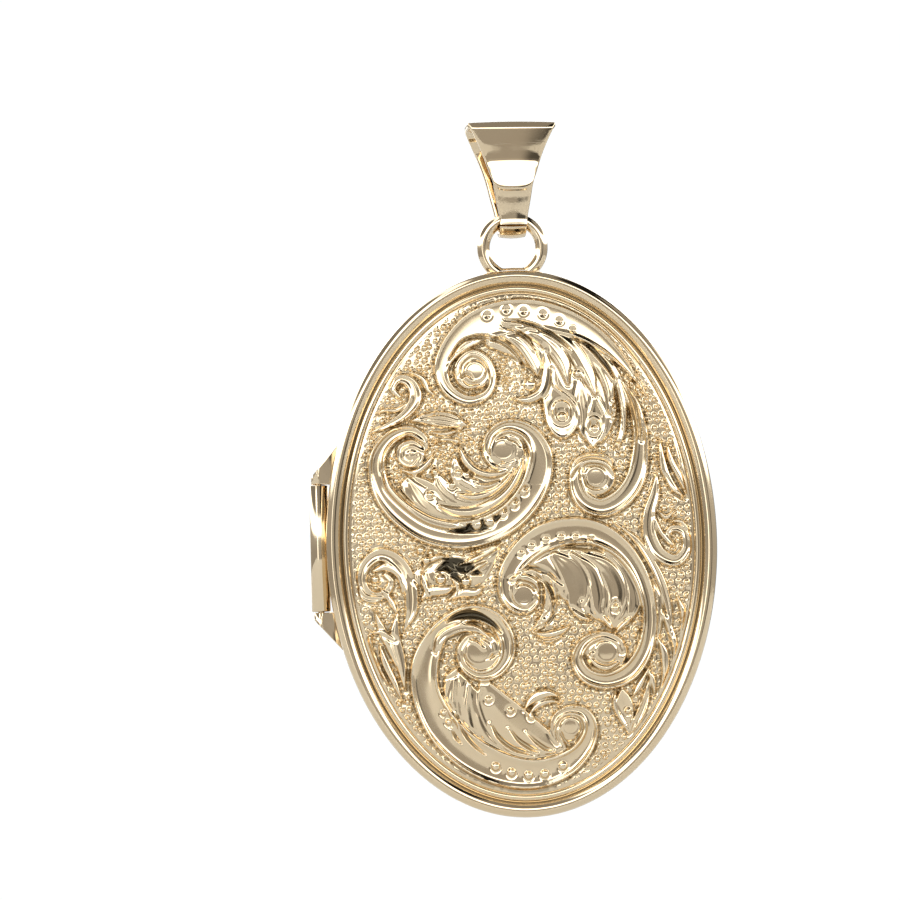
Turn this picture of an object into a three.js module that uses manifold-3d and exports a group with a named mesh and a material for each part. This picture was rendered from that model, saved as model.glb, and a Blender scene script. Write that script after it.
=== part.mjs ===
// An oval photo locket on a flared bail. It hangs upright: X to the wearer's left, Y to the back, Z up.
// The origin is the centre of the bail's chain passage. All sizes are in millimetres.
//
// The back cover carries the hanging loop, the snap bezel and two hinge knuckles. The front cover turns about
// the hinge pin on its left edge. Each cover holds a photo card, a clear window and a retaining frame.

import * as THREE from "three";
import { mergeVertices } from "three/addons/utils/BufferGeometryUtils.js";
import Module from "manifold-3d";

const wasm = await Module();
wasm.setup();

// ---- driving dimensions -------------------------------------------------------------------------

const LOCKET_WIDTH = 18.2;
const LOCKET_HEIGHT = 25.5;
const OVAL_STEPS = 60; // facets round the oval
const PAST = 1; // how far a cut runs past what it cuts
const PARTING_GAP = 0.06; // between the closed covers
const PARTING_BEVEL = 0.08; // bevel on each cover's outer edge, for a thumbnail
const SOLDER_GAP = 0.03; // between pieces that are soldered face to face

// Covers: a rounded rim, a groove and a bead run round a domed panel. Depths count out from the parting plane.
const EDGE_WALL = 0.36;
const SHEET = 0.3;
const RIM_WIDTH = 0.62;
const RIM_DEPTH = 1.3;
const RIM_SHOULDER = 0.45; // height of the rim's rounded shoulder
const GROOVE_WIDTH = 0.14;
const GROOVE_DROP = 0.28; // below the rim's crest
const BEAD_WIDTH = 0.32;
const BEAD_DROP = 0.1;
const PANEL_STEP = 0.1; // from the bead to the panel's edge
const PANEL_DROP = 0.2;
const DOME_RISE = 0.85;
const DOME_FLAT = 0.25; // share of the panel that is flat, in its middle
const DOME_STEPS = 4;

// Snap bezel, catch and photo fittings.
const BEZEL_WALL = 0.22;
const BEZEL_CLEARANCE = 0.07; // to the front cover's wall
const BEZEL_TIP_GAP = 0.12;
const CATCH_LENGTH = 1.6;
const CATCH_RADIUS = 0.16;
const CATCH_PROUD = 0.04; // of the bezel
const CATCH_CLEARANCE = 0.05;
const SEAT_WALL = 0.18;
const SEAT_CLEARANCE = 0.1;
const FIT_GAP = 0.05; // round each photo fitting
const LAYER_GAP = 0.03; // between stacked photo fittings
const CARD_THICK = 0.2;
const WINDOW_THICK = 0.15;
const FRAME_WIDTH = 1.1;
const FRAME_LIP = 0.32; // share of the frame's thickness that is left at its inner edge

// Hinge. The barrel lies in a seat cut into the covers' edges, between bearers with chamfered ends.
const BARREL_RADIUS = 0.44;
const BARREL_LENGTH = 5.9;
const BARREL_RECESS = 0.11; // into the oval's edge
const BARREL_CLEARANCE = 0.05;
const KNUCKLE_RADIUS = 0.34;
const KNUCKLE_LENGTH = 0.75;
const KNUCKLE_GAP = 0.05;
const PIN_RADIUS = 0.15;
const PIN_CLEARANCE = 0.03;
const BEARER_LENGTH = 7.4; // along the hinge line, over both ends
const BEARER_DEPTH = 0.45;
const BEARER_SETBACK = 0.04; // from the hinge line
const BEARER_CHAMFER = 48; // degrees from the X axis

// Hanging loop and bail.
const LOOP_RADIUS = 1.37; // to the wire's centre
const LOOP_WIRE = 0.3; // the wire's radius
const LOOP_STANDOFF = 1.22; // loop centre above the cover's top edge
const LOOP_SETBACK = 0.12; // from the parting plane to the wire
const LOOP_FOOT_WIDTH = 3.0;
const LOOP_FOOT_RISE = 0.28; // above the cover's top edge
const BAIL_HEIGHT = 5.42;
const BAIL_DEPTH = 2.6;
const BAIL_SHEET = 0.3;
const BAIL_SLACK = 0.32; // from the loop's wire to the bail's foot
const BAIL_TOP_WIDTH = 4.35;
const BAIL_NECK_WIDTH = 1.6;
const BAIL_FOOT_CLEARANCE = 0.13; // each side, in the loop's opening
const BAIL_FLARE = 2.1; // exponent of the flared sides
const BAIL_STEPS = 12;
const BAIL_SEAM = 0.1;
const BAIL_SEAM_DROP = 0.42; // seam below the foot's centre
const BAIL_TURN = 6; // degrees that the bail has turned on the loop as it hangs

// ---- places worked out from them ----------------------------------------------------------------

const halfWidth = LOCKET_WIDTH / 2;
const halfHeight = LOCKET_HEIGHT / 2;
const edgeDepth = PARTING_GAP / 2;
const panelInset = RIM_WIDTH + GROOVE_WIDTH + BEAD_WIDTH + PANEL_STEP;
const panelDepth = RIM_DEPTH - PANEL_DROP;
const cavityDepth = RIM_DEPTH - GROOVE_DROP - SHEET;

const footRadius = LOOP_WIRE + BAIL_SLACK + BAIL_SHEET; // outside of the bail's foot bend
const topRadius = BAIL_DEPTH / 2;
const footDrop = BAIL_HEIGHT - topRadius - footRadius; // between the centres of the bail's two bends
const loopOpening = LOOP_RADIUS - LOOP_WIRE;
const footInLoop = Math.sqrt(loopOpening ** 2 - (LOOP_RADIUS - LOOP_WIRE - BAIL_SLACK) ** 2);
const footHalfWidth = footInLoop - BAIL_FOOT_CLEARANCE;
const loopDepth = LOOP_SETBACK + LOOP_WIRE;
const loopZ = halfHeight + LOOP_STANDOFF;
const locketZ = -(footDrop + LOOP_RADIUS + loopZ);
const locketY = -loopDepth;

const hingeX = -(halfWidth - BARREL_RECESS + BARREL_RADIUS);
const knuckleStart = BARREL_LENGTH / 2 + KNUCKLE_GAP;
const pinReach = knuckleStart + KNUCKLE_LENGTH / 2;

const bezelInset = EDGE_WALL + BEZEL_CLEARANCE;
const bezelInner = bezelInset + BEZEL_WALL;
const seatInset = bezelInner + SEAT_CLEARANCE;
const backFit = bezelInner + FIT_GAP; // inset of the photo fittings
const frontFit = seatInset + SEAT_WALL + FIT_GAP;

// ---- solids -------------------------------------------------------------------------------------

function solid(geometry) {
  const bare = geometry.clone();
  bare.deleteAttribute("normal");
  bare.deleteAttribute("uv");
  const merged = mergeVertices(bare, 1e-4);
  return new wasm.Manifold(
    new wasm.Mesh({
      numProp: 3,
      vertProperties: merged.attributes.position.array,
      triVerts: new Uint32Array(merged.index.array),
    }),
  );
}

function geometryOf(manifold) {
  const mesh = manifold.getMesh();
  return new THREE.BufferGeometry()
    .setAttribute("position", new THREE.BufferAttribute(mesh.vertProperties, 3))
    .setIndex(new THREE.BufferAttribute(mesh.triVerts, 1));
}

// A point of the oval, moved in along its normal. Inside the panel's edge the outline shrinks to the centre.
function ovalPoint(angle, inset) {
  const sin = Math.sin(angle);
  const cos = Math.cos(angle);
  const rim = Math.min(inset, panelInset);
  const length = Math.hypot(halfHeight * sin, halfWidth * cos);
  const point = new THREE.Vector2(
    halfWidth * sin - (rim * halfHeight * sin) / length,
    halfHeight * cos - (rim * halfWidth * cos) / length,
  );
  return point.multiplyScalar((halfWidth - Math.max(inset, rim)) / (halfWidth - rim));
}

// A LatheGeometry whose circle is stretched onto the oval. The profile's points are [inset, y].
function ovalLathe(profile) {
  const points = profile.map(([inset, y]) => new THREE.Vector2(halfWidth - inset, y));
  const lathe = new THREE.LatheGeometry(points, OVAL_STEPS);
  const position = lathe.getAttribute("position");
  for (let i = 0; i < position.count; i++) {
    const x = position.getX(i);
    const z = position.getZ(i);
    const onOval = ovalPoint(Math.atan2(x, z), halfWidth - Math.hypot(x, z));
    position.setXYZ(i, onOval.x, position.getY(i), onOval.y);
  }
  return lathe;
}

// A closed profile lies on one side of the parting plane: side is -1 for the front cover and +1 for the back.
function ovalBody(side, profile) {
  const placed = profile.map(([inset, depth]) => [inset, side * depth]);
  return ovalLathe(side > 0 ? placed : placed.reverse());
}

function ovalRing(side, outer, inner, from, to) {
  return ovalBody(side, [
    [outer, from],
    [outer, to],
    [inner, to],
    [inner, from],
    [outer, from],
  ]);
}

function ovalDisc(side, inset, from, to) {
  return ovalBody(side, [
    [halfWidth, from],
    [inset, from],
    [inset, to],
    [halfWidth, to],
  ]);
}

// A shape drawn in X and Z, thickened from front to back.
function plate(shape, front, back) {
  return new THREE.ExtrudeGeometry(shape, { depth: back - front, bevelEnabled: false })
    .rotateX(Math.PI / 2)
    .translate(0, back, 0);
}

function box(width, depth, height, x, y, z) {
  return solid(new THREE.BoxGeometry(width, depth, height).translate(x, y, z));
}

// A cylinder along Z.
function rod(radius, from, to, x, y, steps = 24) {
  return new THREE.CylinderGeometry(radius, radius, to - from, steps)
    .rotateX(Math.PI / 2)
    .translate(x, y, (from + to) / 2);
}

// ---- covers -------------------------------------------------------------------------------------

// The rim's crest lies midway across it, between a rounded shoulder and the groove. Inside it is the bead.
function coverProfile() {
  const crestInset = RIM_WIDTH / 2;
  const grooveInset = RIM_WIDTH + GROOVE_WIDTH / 2;
  const beadInset = RIM_WIDTH + GROOVE_WIDTH + BEAD_WIDTH / 2;
  const shoulderDepth = RIM_DEPTH - RIM_SHOULDER;
  const outside = [
    [PARTING_BEVEL, edgeDepth],
    [0, edgeDepth + PARTING_BEVEL],
    [0, shoulderDepth],
    [crestInset * (1 - Math.SQRT1_2), shoulderDepth + RIM_SHOULDER * Math.SQRT1_2],
    [crestInset, RIM_DEPTH],
    [RIM_WIDTH, RIM_DEPTH - GROOVE_DROP / 2],
    [grooveInset, RIM_DEPTH - GROOVE_DROP],
    [beadInset, RIM_DEPTH - BEAD_DROP],
    [panelInset, panelDepth],
  ];
  const inside = [
    [EDGE_WALL, cavityDepth],
    [EDGE_WALL, edgeDepth],
    [PARTING_BEVEL, edgeDepth],
  ];
  const steps = [...Array(DOME_STEPS).keys()].map((step) => (step + 1) / DOME_STEPS);
  const panel = (from, rise) => (share) => [
    panelInset + (halfWidth - panelInset) * (1 - DOME_FLAT) * share,
    from + rise * (1 - (1 - share) ** 2),
  ];
  const crown = [...steps.map(panel(panelDepth, DOME_RISE)), [halfWidth, panelDepth + DOME_RISE]];
  const liningRise = panelDepth + DOME_RISE - SHEET - cavityDepth;
  const lining = [0, ...steps].map(panel(cavityDepth, liningRise));
  lining.push([halfWidth, cavityDepth + liningRise]);
  return [outside, crown, lining.reverse(), inside];
}

// The profile runs from the axis along the lining to the edge, and back over the rim and crown.
function cover(side) {
  const [outside, crown, lining, inside] = coverProfile();
  const shell = solid(ovalBody(side, [...lining, ...inside, ...outside.slice(1), ...crown]));
  const seatEnd = knuckleStart + KNUCKLE_LENGTH;
  return shell.subtract(solid(rod(BARREL_RADIUS + BARREL_CLEARANCE, -seatEnd, seatEnd, hingeX, 0)));
}

// The catch bead lies on the bezel's right side, and the front cover has a groove for it.
const catchX = halfWidth - bezelInset - CATCH_RADIUS + CATCH_PROUD;
const catchDepth = cavityDepth / 2;

function catchGroove() {
  const radius = CATCH_RADIUS + CATCH_CLEARANCE;
  const reach = CATCH_LENGTH / 2 + CATCH_CLEARANCE;
  return solid(rod(radius, -reach, reach, catchX, -catchDepth));
}

function catchBead() {
  const bead = solid(rod(CATCH_RADIUS, -CATCH_LENGTH / 2, CATCH_LENGTH / 2, catchX, -catchDepth));
  return bead.subtract(solid(ovalDisc(-1, bezelInset - SOLDER_GAP, edgeDepth - PAST, cavityDepth + PAST)));
}

// ---- bezel and photo fittings -------------------------------------------------------------------

// Soldered inside the back cover, it stands into the front cover, whose wall snaps over it.
function snapBezel() {
  const seated = EDGE_WALL + SOLDER_GAP;
  return ovalLathe([
    [bezelInner, -(cavityDepth - BEZEL_TIP_GAP)],
    [bezelInset, -(cavityDepth - BEZEL_TIP_GAP)],
    [bezelInset, edgeDepth],
    [seated, edgeDepth],
    [seated, cavityDepth - SOLDER_GAP],
    [bezelInner, cavityDepth - SOLDER_GAP],
    [bezelInner, -(cavityDepth - BEZEL_TIP_GAP)],
  ]);
}

const cardFloor = cavityDepth - LAYER_GAP;
const windowFloor = cardFloor - CARD_THICK - LAYER_GAP;
const frameFloor = windowFloor - WINDOW_THICK - LAYER_GAP;

// Soldered inside the front cover, it stands in from the bezel and holds the front photo fittings.
function frontSeat() {
  return ovalRing(-1, seatInset, seatInset + SEAT_WALL, edgeDepth, cavityDepth - SOLDER_GAP);
}

function photoCard(side, inset) {
  return ovalDisc(side, inset, cardFloor - CARD_THICK, cardFloor);
}

function photoWindow(side, inset) {
  return ovalDisc(side, inset, windowFloor - WINDOW_THICK, windowFloor);
}

// A sprung frame with a rolled top, pressed in over the window.
function photoFrame(side, inset) {
  const thickness = frameFloor - edgeDepth;
  const roll = thickness / 2;
  return ovalBody(side, [
    [inset, edgeDepth + roll],
    [inset, frameFloor],
    [inset + FRAME_WIDTH, frameFloor],
    [inset + FRAME_WIDTH, frameFloor - FRAME_LIP * thickness],
    [inset + FRAME_WIDTH / 2, edgeDepth],
    [inset + FRAME_WIDTH / 4, edgeDepth],
    [inset, edgeDepth + roll],
  ]);
}

// ---- hinge --------------------------------------------------------------------------------------

function tube(radius, from, to) {
  const bore = PIN_RADIUS + PIN_CLEARANCE;
  return solid(rod(radius, from, to, hingeX, 0)).subtract(solid(rod(bore, from - PAST, to + PAST, hingeX, 0)));
}

// What lies inside the hinge's chamfered outline, seen from the front.
function hingeOutline() {
  const outer = hingeX - 2 * BARREL_RADIUS;
  const inner = -halfWidth / 2;
  const rise = Math.tan((BEARER_CHAMFER * Math.PI) / 180);
  const halfLength = (x) => BEARER_LENGTH / 2 + rise * (x - hingeX);
  const shape = new THREE.Shape();
  shape.moveTo(outer, -halfLength(outer));
  shape.lineTo(inner, -halfLength(inner));
  shape.lineTo(inner, halfLength(inner));
  shape.lineTo(outer, halfLength(outer));
  return shape;
}

// A bearer fills the corner between the barrel's end and the cover's edge. It clears the end knuckle.
function bearer(side, up) {
  const [front, back] = side < 0 ? [-BEARER_DEPTH, -edgeDepth] : [edgeDepth, BEARER_DEPTH];
  const reach = LOCKET_HEIGHT;
  const outward = box(reach, reach, reach, hingeX + BEARER_SETBACK - reach / 2, 0, 0);
  const otherEnd = box(reach, reach, reach, hingeX, 0, up * (BARREL_LENGTH / 2 + KNUCKLE_GAP - reach / 2));
  const room = rod(KNUCKLE_RADIUS + BARREL_CLEARANCE, -reach, reach, hingeX, 0);
  return solid(plate(hingeOutline(), front, back))
    .subtract(outward)
    .subtract(otherEnd)
    .subtract(solid(ovalDisc(side, -SOLDER_GAP, edgeDepth - PAST, BEARER_DEPTH + PAST)))
    .subtract(solid(room));
}

function endKnuckle(up) {
  const from = up > 0 ? knuckleStart : -knuckleStart - KNUCKLE_LENGTH;
  const outline = plate(hingeOutline(), -2 * BARREL_RADIUS, 2 * BARREL_RADIUS);
  return tube(KNUCKLE_RADIUS, from, from + KNUCKLE_LENGTH).intersect(solid(outline));
}

// ---- hanging loop and bail ----------------------------------------------------------------------

// A ring with a low foot, soldered to the back cover's top edge.
function hangingLoop() {
  const ring = new THREE.TorusGeometry(LOOP_RADIUS, LOOP_WIRE, 12, 40).rotateX(Math.PI / 2);
  const foot = box(LOOP_FOOT_WIDTH, 2 * LOOP_WIRE, 2 * LOOP_FOOT_RISE, 0, loopDepth, halfHeight);
  return solid(ring.translate(0, loopDepth, loopZ))
    .add(foot)
    .subtract(solid(ovalDisc(1, -SOLDER_GAP, -PAST, RIM_DEPTH + PAST)));
}

// Two bends joined by straight leaves, seen from the side. inward is the distance in from the outer face.
function bailLoop(inward) {
  const top = topRadius - inward;
  const foot = footRadius - inward;
  const lean = Math.asin((topRadius - footRadius) / footDrop);
  const path = new THREE.Path();
  path.absarc(0, 0, top, -lean, Math.PI + lean, false);
  path.absarc(0, -footDrop, foot, Math.PI + lean, 2 * Math.PI - lean, false);
  return path.getPoints(16);
}

function bailStrip() {
  const shape = new THREE.Shape(bailLoop(0));
  shape.holes.push(new THREE.Path(bailLoop(BAIL_SHEET)));
  return new THREE.ExtrudeGeometry(shape, { depth: 2 * BAIL_TOP_WIDTH, bevelEnabled: false })
    .translate(0, 0, -BAIL_TOP_WIDTH)
    .rotateY(Math.PI / 2)
    .rotateX(Math.PI / 2);
}

// The bail's sides flare from the neck to the top, and its foot is narrow enough to turn in the loop.
function bailOutline() {
  const seamZ = -footDrop - BAIL_SEAM_DROP;
  const topZ = topRadius;
  const side = [
    [footHalfWidth, -footDrop - footRadius - PAST],
    [footHalfWidth, seamZ],
  ];
  for (let step = 0; step <= BAIL_STEPS; step++) {
    const share = step / BAIL_STEPS;
    const width = BAIL_NECK_WIDTH + (BAIL_TOP_WIDTH - BAIL_NECK_WIDTH) * share ** BAIL_FLARE;
    side.push([width / 2, seamZ + (topZ - seamZ) * share]);
  }
  const mirrored = side.map(([x, z]) => [-x, z]).reverse();
  return new THREE.Shape([...side, ...mirrored].map(([x, z]) => new THREE.Vector2(x, z)));
}

function bail() {
  const seamZ = -footDrop - BAIL_SEAM_DROP;
  const seam = box(BAIL_TOP_WIDTH, 2 * footRadius, BAIL_SEAM, 0, -footRadius, seamZ);
  const silhouette = solid(plate(bailOutline(), -BAIL_DEPTH, BAIL_DEPTH));
  return solid(bailStrip()).intersect(silhouette).subtract(seam);
}

// ---- assembly -----------------------------------------------------------------------------------

const gold = { color: 0xd9b27c, roughness: 0.18, metalness: 1.0 };
const innerGold = { color: 0xcfab78, roughness: 0.35, metalness: 1.0 };
const paper = { color: 0xf2ece0, roughness: 0.85, metalness: 0.0 };
const acetate = { color: 0xe8f0f2, roughness: 0.06, metalness: 0.0 };

function piece(name, shape, finish) {
  const geometry = shape.isBufferGeometry ? shape : geometryOf(shape);
  const mesh = new THREE.Mesh(geometry, new THREE.MeshStandardMaterial(finish));
  mesh.name = name;
  return mesh;
}

const backHalf = new THREE.Group().add(
  piece("back_cover", cover(1), gold),
  piece("snap_bezel", snapBezel(), innerGold),
  piece("catch_bead", catchBead(), innerGold),
  piece("back_photo_card", photoCard(1, backFit), paper),
  piece("back_photo_window", photoWindow(1, backFit), acetate),
  piece("back_photo_frame", photoFrame(1, backFit), innerGold),
  piece("back_bearer_upper", bearer(1, 1), gold),
  piece("back_bearer_lower", bearer(1, -1), gold),
  piece("hinge_knuckle_upper", endKnuckle(1), gold),
  piece("hinge_knuckle_lower", endKnuckle(-1), gold),
  piece("hinge_pin", rod(PIN_RADIUS, -pinReach, pinReach, hingeX, 0), gold),
  piece("hanging_loop", hangingLoop(), gold),
);

const frontHalf = new THREE.Group().add(
  piece("front_cover", cover(-1).subtract(catchGroove()), gold),
  piece("front_photo_seat", frontSeat(), innerGold),
  piece("front_photo_card", photoCard(-1, frontFit), paper),
  piece("front_photo_window", photoWindow(-1, frontFit), acetate),
  piece("front_photo_frame", photoFrame(-1, frontFit), innerGold),
  piece("front_bearer_upper", bearer(-1, 1), gold),
  piece("front_bearer_lower", bearer(-1, -1), gold),
  piece("hinge_barrel", tube(BARREL_RADIUS, -BARREL_LENGTH / 2, BARREL_LENGTH / 2), gold),
);

const locket = new THREE.Group().add(backHalf, frontHalf);
locket.position.set(0, locketY, locketZ);

const hungBail = piece("bail", bail(), gold);
hungBail.rotation.z = (BAIL_TURN * Math.PI) / 180;

export default new THREE.Group().add(hungBail, locket);
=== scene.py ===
"""The looks of an oval photo locket on a flared bail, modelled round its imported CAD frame.

Shapes are drawn in millimetres from the oval's centre: X to the right, Y to the back, Z up. Depths count out
from the parting plane between the two covers. Each piece is then placed in metres in the frame.
"""

import math

import bmesh
import bpy
import numpy as np
from mathutils import Euler, Matrix, Vector


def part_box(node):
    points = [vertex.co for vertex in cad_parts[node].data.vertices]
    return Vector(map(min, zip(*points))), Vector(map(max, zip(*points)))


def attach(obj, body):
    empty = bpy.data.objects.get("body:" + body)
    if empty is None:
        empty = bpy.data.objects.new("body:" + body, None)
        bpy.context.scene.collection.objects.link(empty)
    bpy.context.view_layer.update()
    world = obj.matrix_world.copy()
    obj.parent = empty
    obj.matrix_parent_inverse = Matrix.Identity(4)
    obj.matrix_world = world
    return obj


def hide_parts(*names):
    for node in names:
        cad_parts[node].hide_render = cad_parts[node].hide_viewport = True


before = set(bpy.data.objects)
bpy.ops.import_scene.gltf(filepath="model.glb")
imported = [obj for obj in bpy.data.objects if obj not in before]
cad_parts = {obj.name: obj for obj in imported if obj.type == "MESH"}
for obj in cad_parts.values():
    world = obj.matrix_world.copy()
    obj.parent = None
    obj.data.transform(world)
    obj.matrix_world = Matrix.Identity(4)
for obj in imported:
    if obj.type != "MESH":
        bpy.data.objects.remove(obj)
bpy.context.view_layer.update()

MM = 0.001

# ---- sizes, in millimetres ----------------------------------------------------------------------

EDGE_GAP = 0.03  # from the parting plane to a cover's edge
EDGE_BEVEL = 0.08
EDGE_WALL = 0.36
RIM_WIDTH = 0.62
RIM_DEPTH = 1.3
RIM_SHOULDER = 0.45
GROOVE_WIDTH = 0.14
GROOVE_DEPTH = 1.02
GROOVE_INSET = RIM_WIDTH + GROOVE_WIDTH / 2
# Painted shade: the share of near-black in the rim's groove
GROOVE_PAINTED_SHADE = 0.65
BEAD_WIDTH = 0.32
BEAD_DEPTH = 1.2
PANEL_INSET = 1.18
PANEL_DEPTH = 1.1
CAVITY_DEPTH = 0.72
LINING_RISE = 0.42
BACK_DOME = 0.84  # rise of the plain back panel
CHASED_DOME = 0.45  # rise of the front panel's ground, under the relief
PANEL_FADE = 0.2  # width of the plain margin round the relief
HOLLOW_DEPTH = 0.14  # how far below its surroundings a hollow takes the full painted shade, and above them a crest the full painted highlight
LINING_RINGS = 5
OVAL_STEPS = 240

BEZEL_INSET = 0.43
BEZEL_INNER = 0.65
SEAT_INSET = 0.75
SEAT_WALL = 0.18
FIT_GAP = 0.05
CARD_FLOOR = 0.69
CARD_THICK = 0.2
WINDOW_FLOOR = 0.46
WINDOW_THICK = 0.15
FRAME_FLOOR = 0.28
FRAME_WIDTH = 1.1
FRAME_ROLL = 0.34  # width of the rolled edge
CATCH_HALF_LENGTH = 0.8
CATCH_HALF_WIDTH = 0.08
CATCH_HALF_DEPTH = 0.16

BARREL_RADIUS = 0.44
BARREL_SEAT = 0.49
BARREL_LENGTH = 5.9
KNUCKLE_RADIUS = 0.34
KNUCKLE_START = 3.0
KNUCKLE_LENGTH = 0.75
PIN_RADIUS = 0.15
PIN_BORE = 0.18
BEARER_LENGTH = 7.4
BEARER_CHAMFER = math.radians(48)

LOOP_RADIUS = 1.37
LOOP_WIRE = 0.3
LOOP_STANDOFF = 1.22
LOOP_SETBACK = 0.42  # from the parting plane to the wire's centre
LOOP_FOOT_WIDTH = 3.0
LOOP_FOOT_RISE = 0.28
LOOP_FOOT_TIP = 0.12  # half height of the solder's ends

BAIL_TOP_RADIUS = 1.3
BAIL_FOOT_RADIUS = 0.92
BAIL_FOOT_DROP = 3.2
BAIL_SHEET = 0.3
BAIL_TOP_WIDTH = 4.35
BAIL_NECK_WIDTH = 1.6
BAIL_FOOT_WIDTH = 1.266
BAIL_FLARE = 2.1
BAIL_WAIST = 0.16  # how much each side of the neck draws in towards the seam, to clear the turning loop
BAIL_WAIST_RISE = 1.75  # height over which it does so
BAIL_SEAM = 0.1
BAIL_SEAM_DROP = 0.42
BAIL_TURN = math.radians(6)
BAIL_BEND = 0.4  # radius of the front top bend
# Down the bail's face: the height from the top bend's centre, and the reach forward. A hollowed plate ends in
# a hip, and a narrow neck below it ends in a small flared lip over the seam.
BAIL_FACE = [(0.9, 1.3), (0.3, 1.24), (-0.45, 1.14), (-0.9, 1.165), (-1.4, 1.2), (-1.82, 1.235), (-1.95, 1.2),
             (-2.1, 1.08), (-2.6, 1.0), (-3.2, 0.915), (-3.4, 0.915), (-3.57, 0.94)]
BAIL_HIP = -1.9
BAIL_HIP_CURVE = 0.28  # how far the hip's line bends up at its ends
BAIL_HIP_SPREAD = 0.5
BAIL_EASE = 0.07  # radius of the strip's long edges
BAIL_PILLOW = 0.05

# ---- places, from the frame ---------------------------------------------------------------------

front_low, front_high = (np.array(corner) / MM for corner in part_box("front_cover"))
back_low, back_high = (np.array(corner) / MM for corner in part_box("back_cover"))
pin_low, pin_high = (np.array(corner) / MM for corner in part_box("hinge_pin"))

CENTRE = np.array([0.0, (front_high[1] + back_low[1]) / 2, (front_low[2] + front_high[2]) / 2])
HALF_WIDTH = front_high[0]
HALF_HEIGHT = (front_high[2] - front_low[2]) / 2
HINGE_X = (pin_low[0] + pin_high[0]) / 2


def oval(angle, inset):
    """Points of the covers' outline, moved in along its normal. Angles run from +Z towards +X."""
    sin, cos = np.sin(angle), np.cos(angle)
    length = np.hypot(HALF_HEIGHT * sin, HALF_WIDTH * cos)
    rim = np.minimum(inset, PANEL_INSET)
    shrink = (HALF_WIDTH - np.maximum(inset, rim)) / (HALF_WIDTH - rim)
    x = HALF_WIDTH * sin - rim * HALF_HEIGHT * sin / length
    z = HALF_HEIGHT * cos - rim * HALF_WIDTH * cos / length
    return x * shrink, z * shrink


def even(count):
    return np.arange(count) * 2 * np.pi / count


def smooth(share):
    share = np.clip(share, 0, 1)
    return share * share * (3 - 2 * share)


def arc(centre_x, centre_y, radius_x, radius_y, start, end, steps):
    """Points on an elliptical arc. The angles are in degrees."""
    turn = np.radians(np.linspace(start, end, steps + 1))
    return [(centre_x + radius_x * math.cos(t), centre_y + radius_y * math.sin(t)) for t in turn]


# ---- meshes -------------------------------------------------------------------------------------

class Shape:
    """Vertices and faces in millimetres. A ring is an array of vertex numbers."""

    def __init__(self):
        self.points = []
        self.count = 0
        self.faces = []

    def add(self, x, y, z):
        x, y, z = np.broadcast_arrays(x, y, z)
        self.points.append(np.stack([x, y, z], -1).reshape(-1, 3).astype(float))
        numbers = np.arange(self.count, self.count + x.size)
        self.count += x.size
        return numbers

    def bridge(self, first, second):
        after = np.roll(first, -1), np.roll(second, -1)
        self.faces += np.stack([first, after[0], after[1], second], -1).tolist()

    def loft(self, rings, closed=False):
        for first, second in zip(rings, rings[1:] + (rings[:1] if closed else [])):
            self.bridge(first, second)

    def strip(self, first, second):
        self.faces += np.stack([first[:-1], first[1:], second[1:], second[:-1]], -1).tolist()

    def halve(self, wide, narrow):
        """Joins a ring to one with half as many vertices."""
        third = np.roll(wide, -2)[::2]
        after = np.roll(narrow, -1)
        self.faces += np.stack([wide[::2], wide[1::2], after, narrow], -1).tolist()
        self.faces += np.stack([wide[1::2], third, after], -1).tolist()

    def fan(self, ring, middle):
        self.faces += [[a, b, middle] for a, b in zip(ring, np.roll(ring, -1))]

    def mesh(self, name, centre, crease=40):
        points = (np.vstack(self.points) + centre) * MM
        mesh = bpy.data.meshes.new(name)
        mesh.from_pydata(points.tolist(), [], self.faces)
        tidy = bmesh.new()
        tidy.from_mesh(mesh)
        bmesh.ops.recalc_face_normals(tidy, faces=tidy.faces)
        tidy.to_mesh(mesh)
        tidy.free()
        mesh.shade_smooth()
        mesh.set_sharp_from_angle(angle=math.radians(crease))
        return mesh


def place(mesh, node, body, material):
    """Adds the piece that stands for a CAD node."""
    piece = bpy.data.objects.new(node + "_looks", mesh)
    bpy.context.scene.collection.objects.link(piece)
    mesh.materials.clear()
    mesh.materials.append(material)
    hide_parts(node)
    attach(piece, body)


def place_shape(shape, node, body, material, crease=40):
    place(shape.mesh(node, CENTRE, crease), node, body, material)


def oval_rings(shape, side, profile):
    """A ring of vertices round the oval for each (inset, depth)."""
    outlines = [(oval(even(OVAL_STEPS), inset), depth) for inset, depth in profile]
    return [shape.add(x, side * depth, z) for (x, z), depth in outlines]


def ring_shape(side, profile):
    """A closed profile of (inset, depth) carried round the oval."""
    shape = Shape()
    shape.loft(oval_rings(shape, side, profile), closed=True)
    return shape


def disc_shape(side, profile):
    """A profile from the axis in front, out over the edge and back to the axis."""
    shape = Shape()
    front = shape.add(0, side * profile[0][1], 0)[0]
    rings = oval_rings(shape, side, profile[1:-1])
    back = shape.add(0, side * profile[-1][1], 0)[0]
    shape.fan(rings[0], front)
    shape.loft(rings)
    shape.fan(rings[-1], back)
    return shape


def rod_shape(profile, steps=64):
    """A closed profile of (radius, z) turned round the hinge line."""
    shape = Shape()
    angles = even(steps)
    rings = [shape.add(HINGE_X + r * np.cos(angles), r * np.sin(angles), z) for r, z in profile]
    shape.loft(rings, closed=True)
    return shape


# ---- chased relief of the front cover -----------------------------------------------------------

def spline(points, steps=9):
    """A smooth line through chosen (x, z, half-width) points."""
    p = np.array(points, float)
    p = np.vstack([2 * p[0] - p[1], p, 2 * p[-1] - p[-2]])
    t = np.linspace(0, 1, steps, endpoint=False)[:, None]
    spans = []
    for a, b, c, d in zip(p, p[1:], p[2:], p[3:]):
        square = (2 * a - 5 * b + 4 * c - d) * t**2
        spans.append(0.5 * (2 * b + (c - a) * t + square + (3 * b - a - 3 * c + d) * t**3))
    return np.vstack(spans + [p[-2]])


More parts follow.
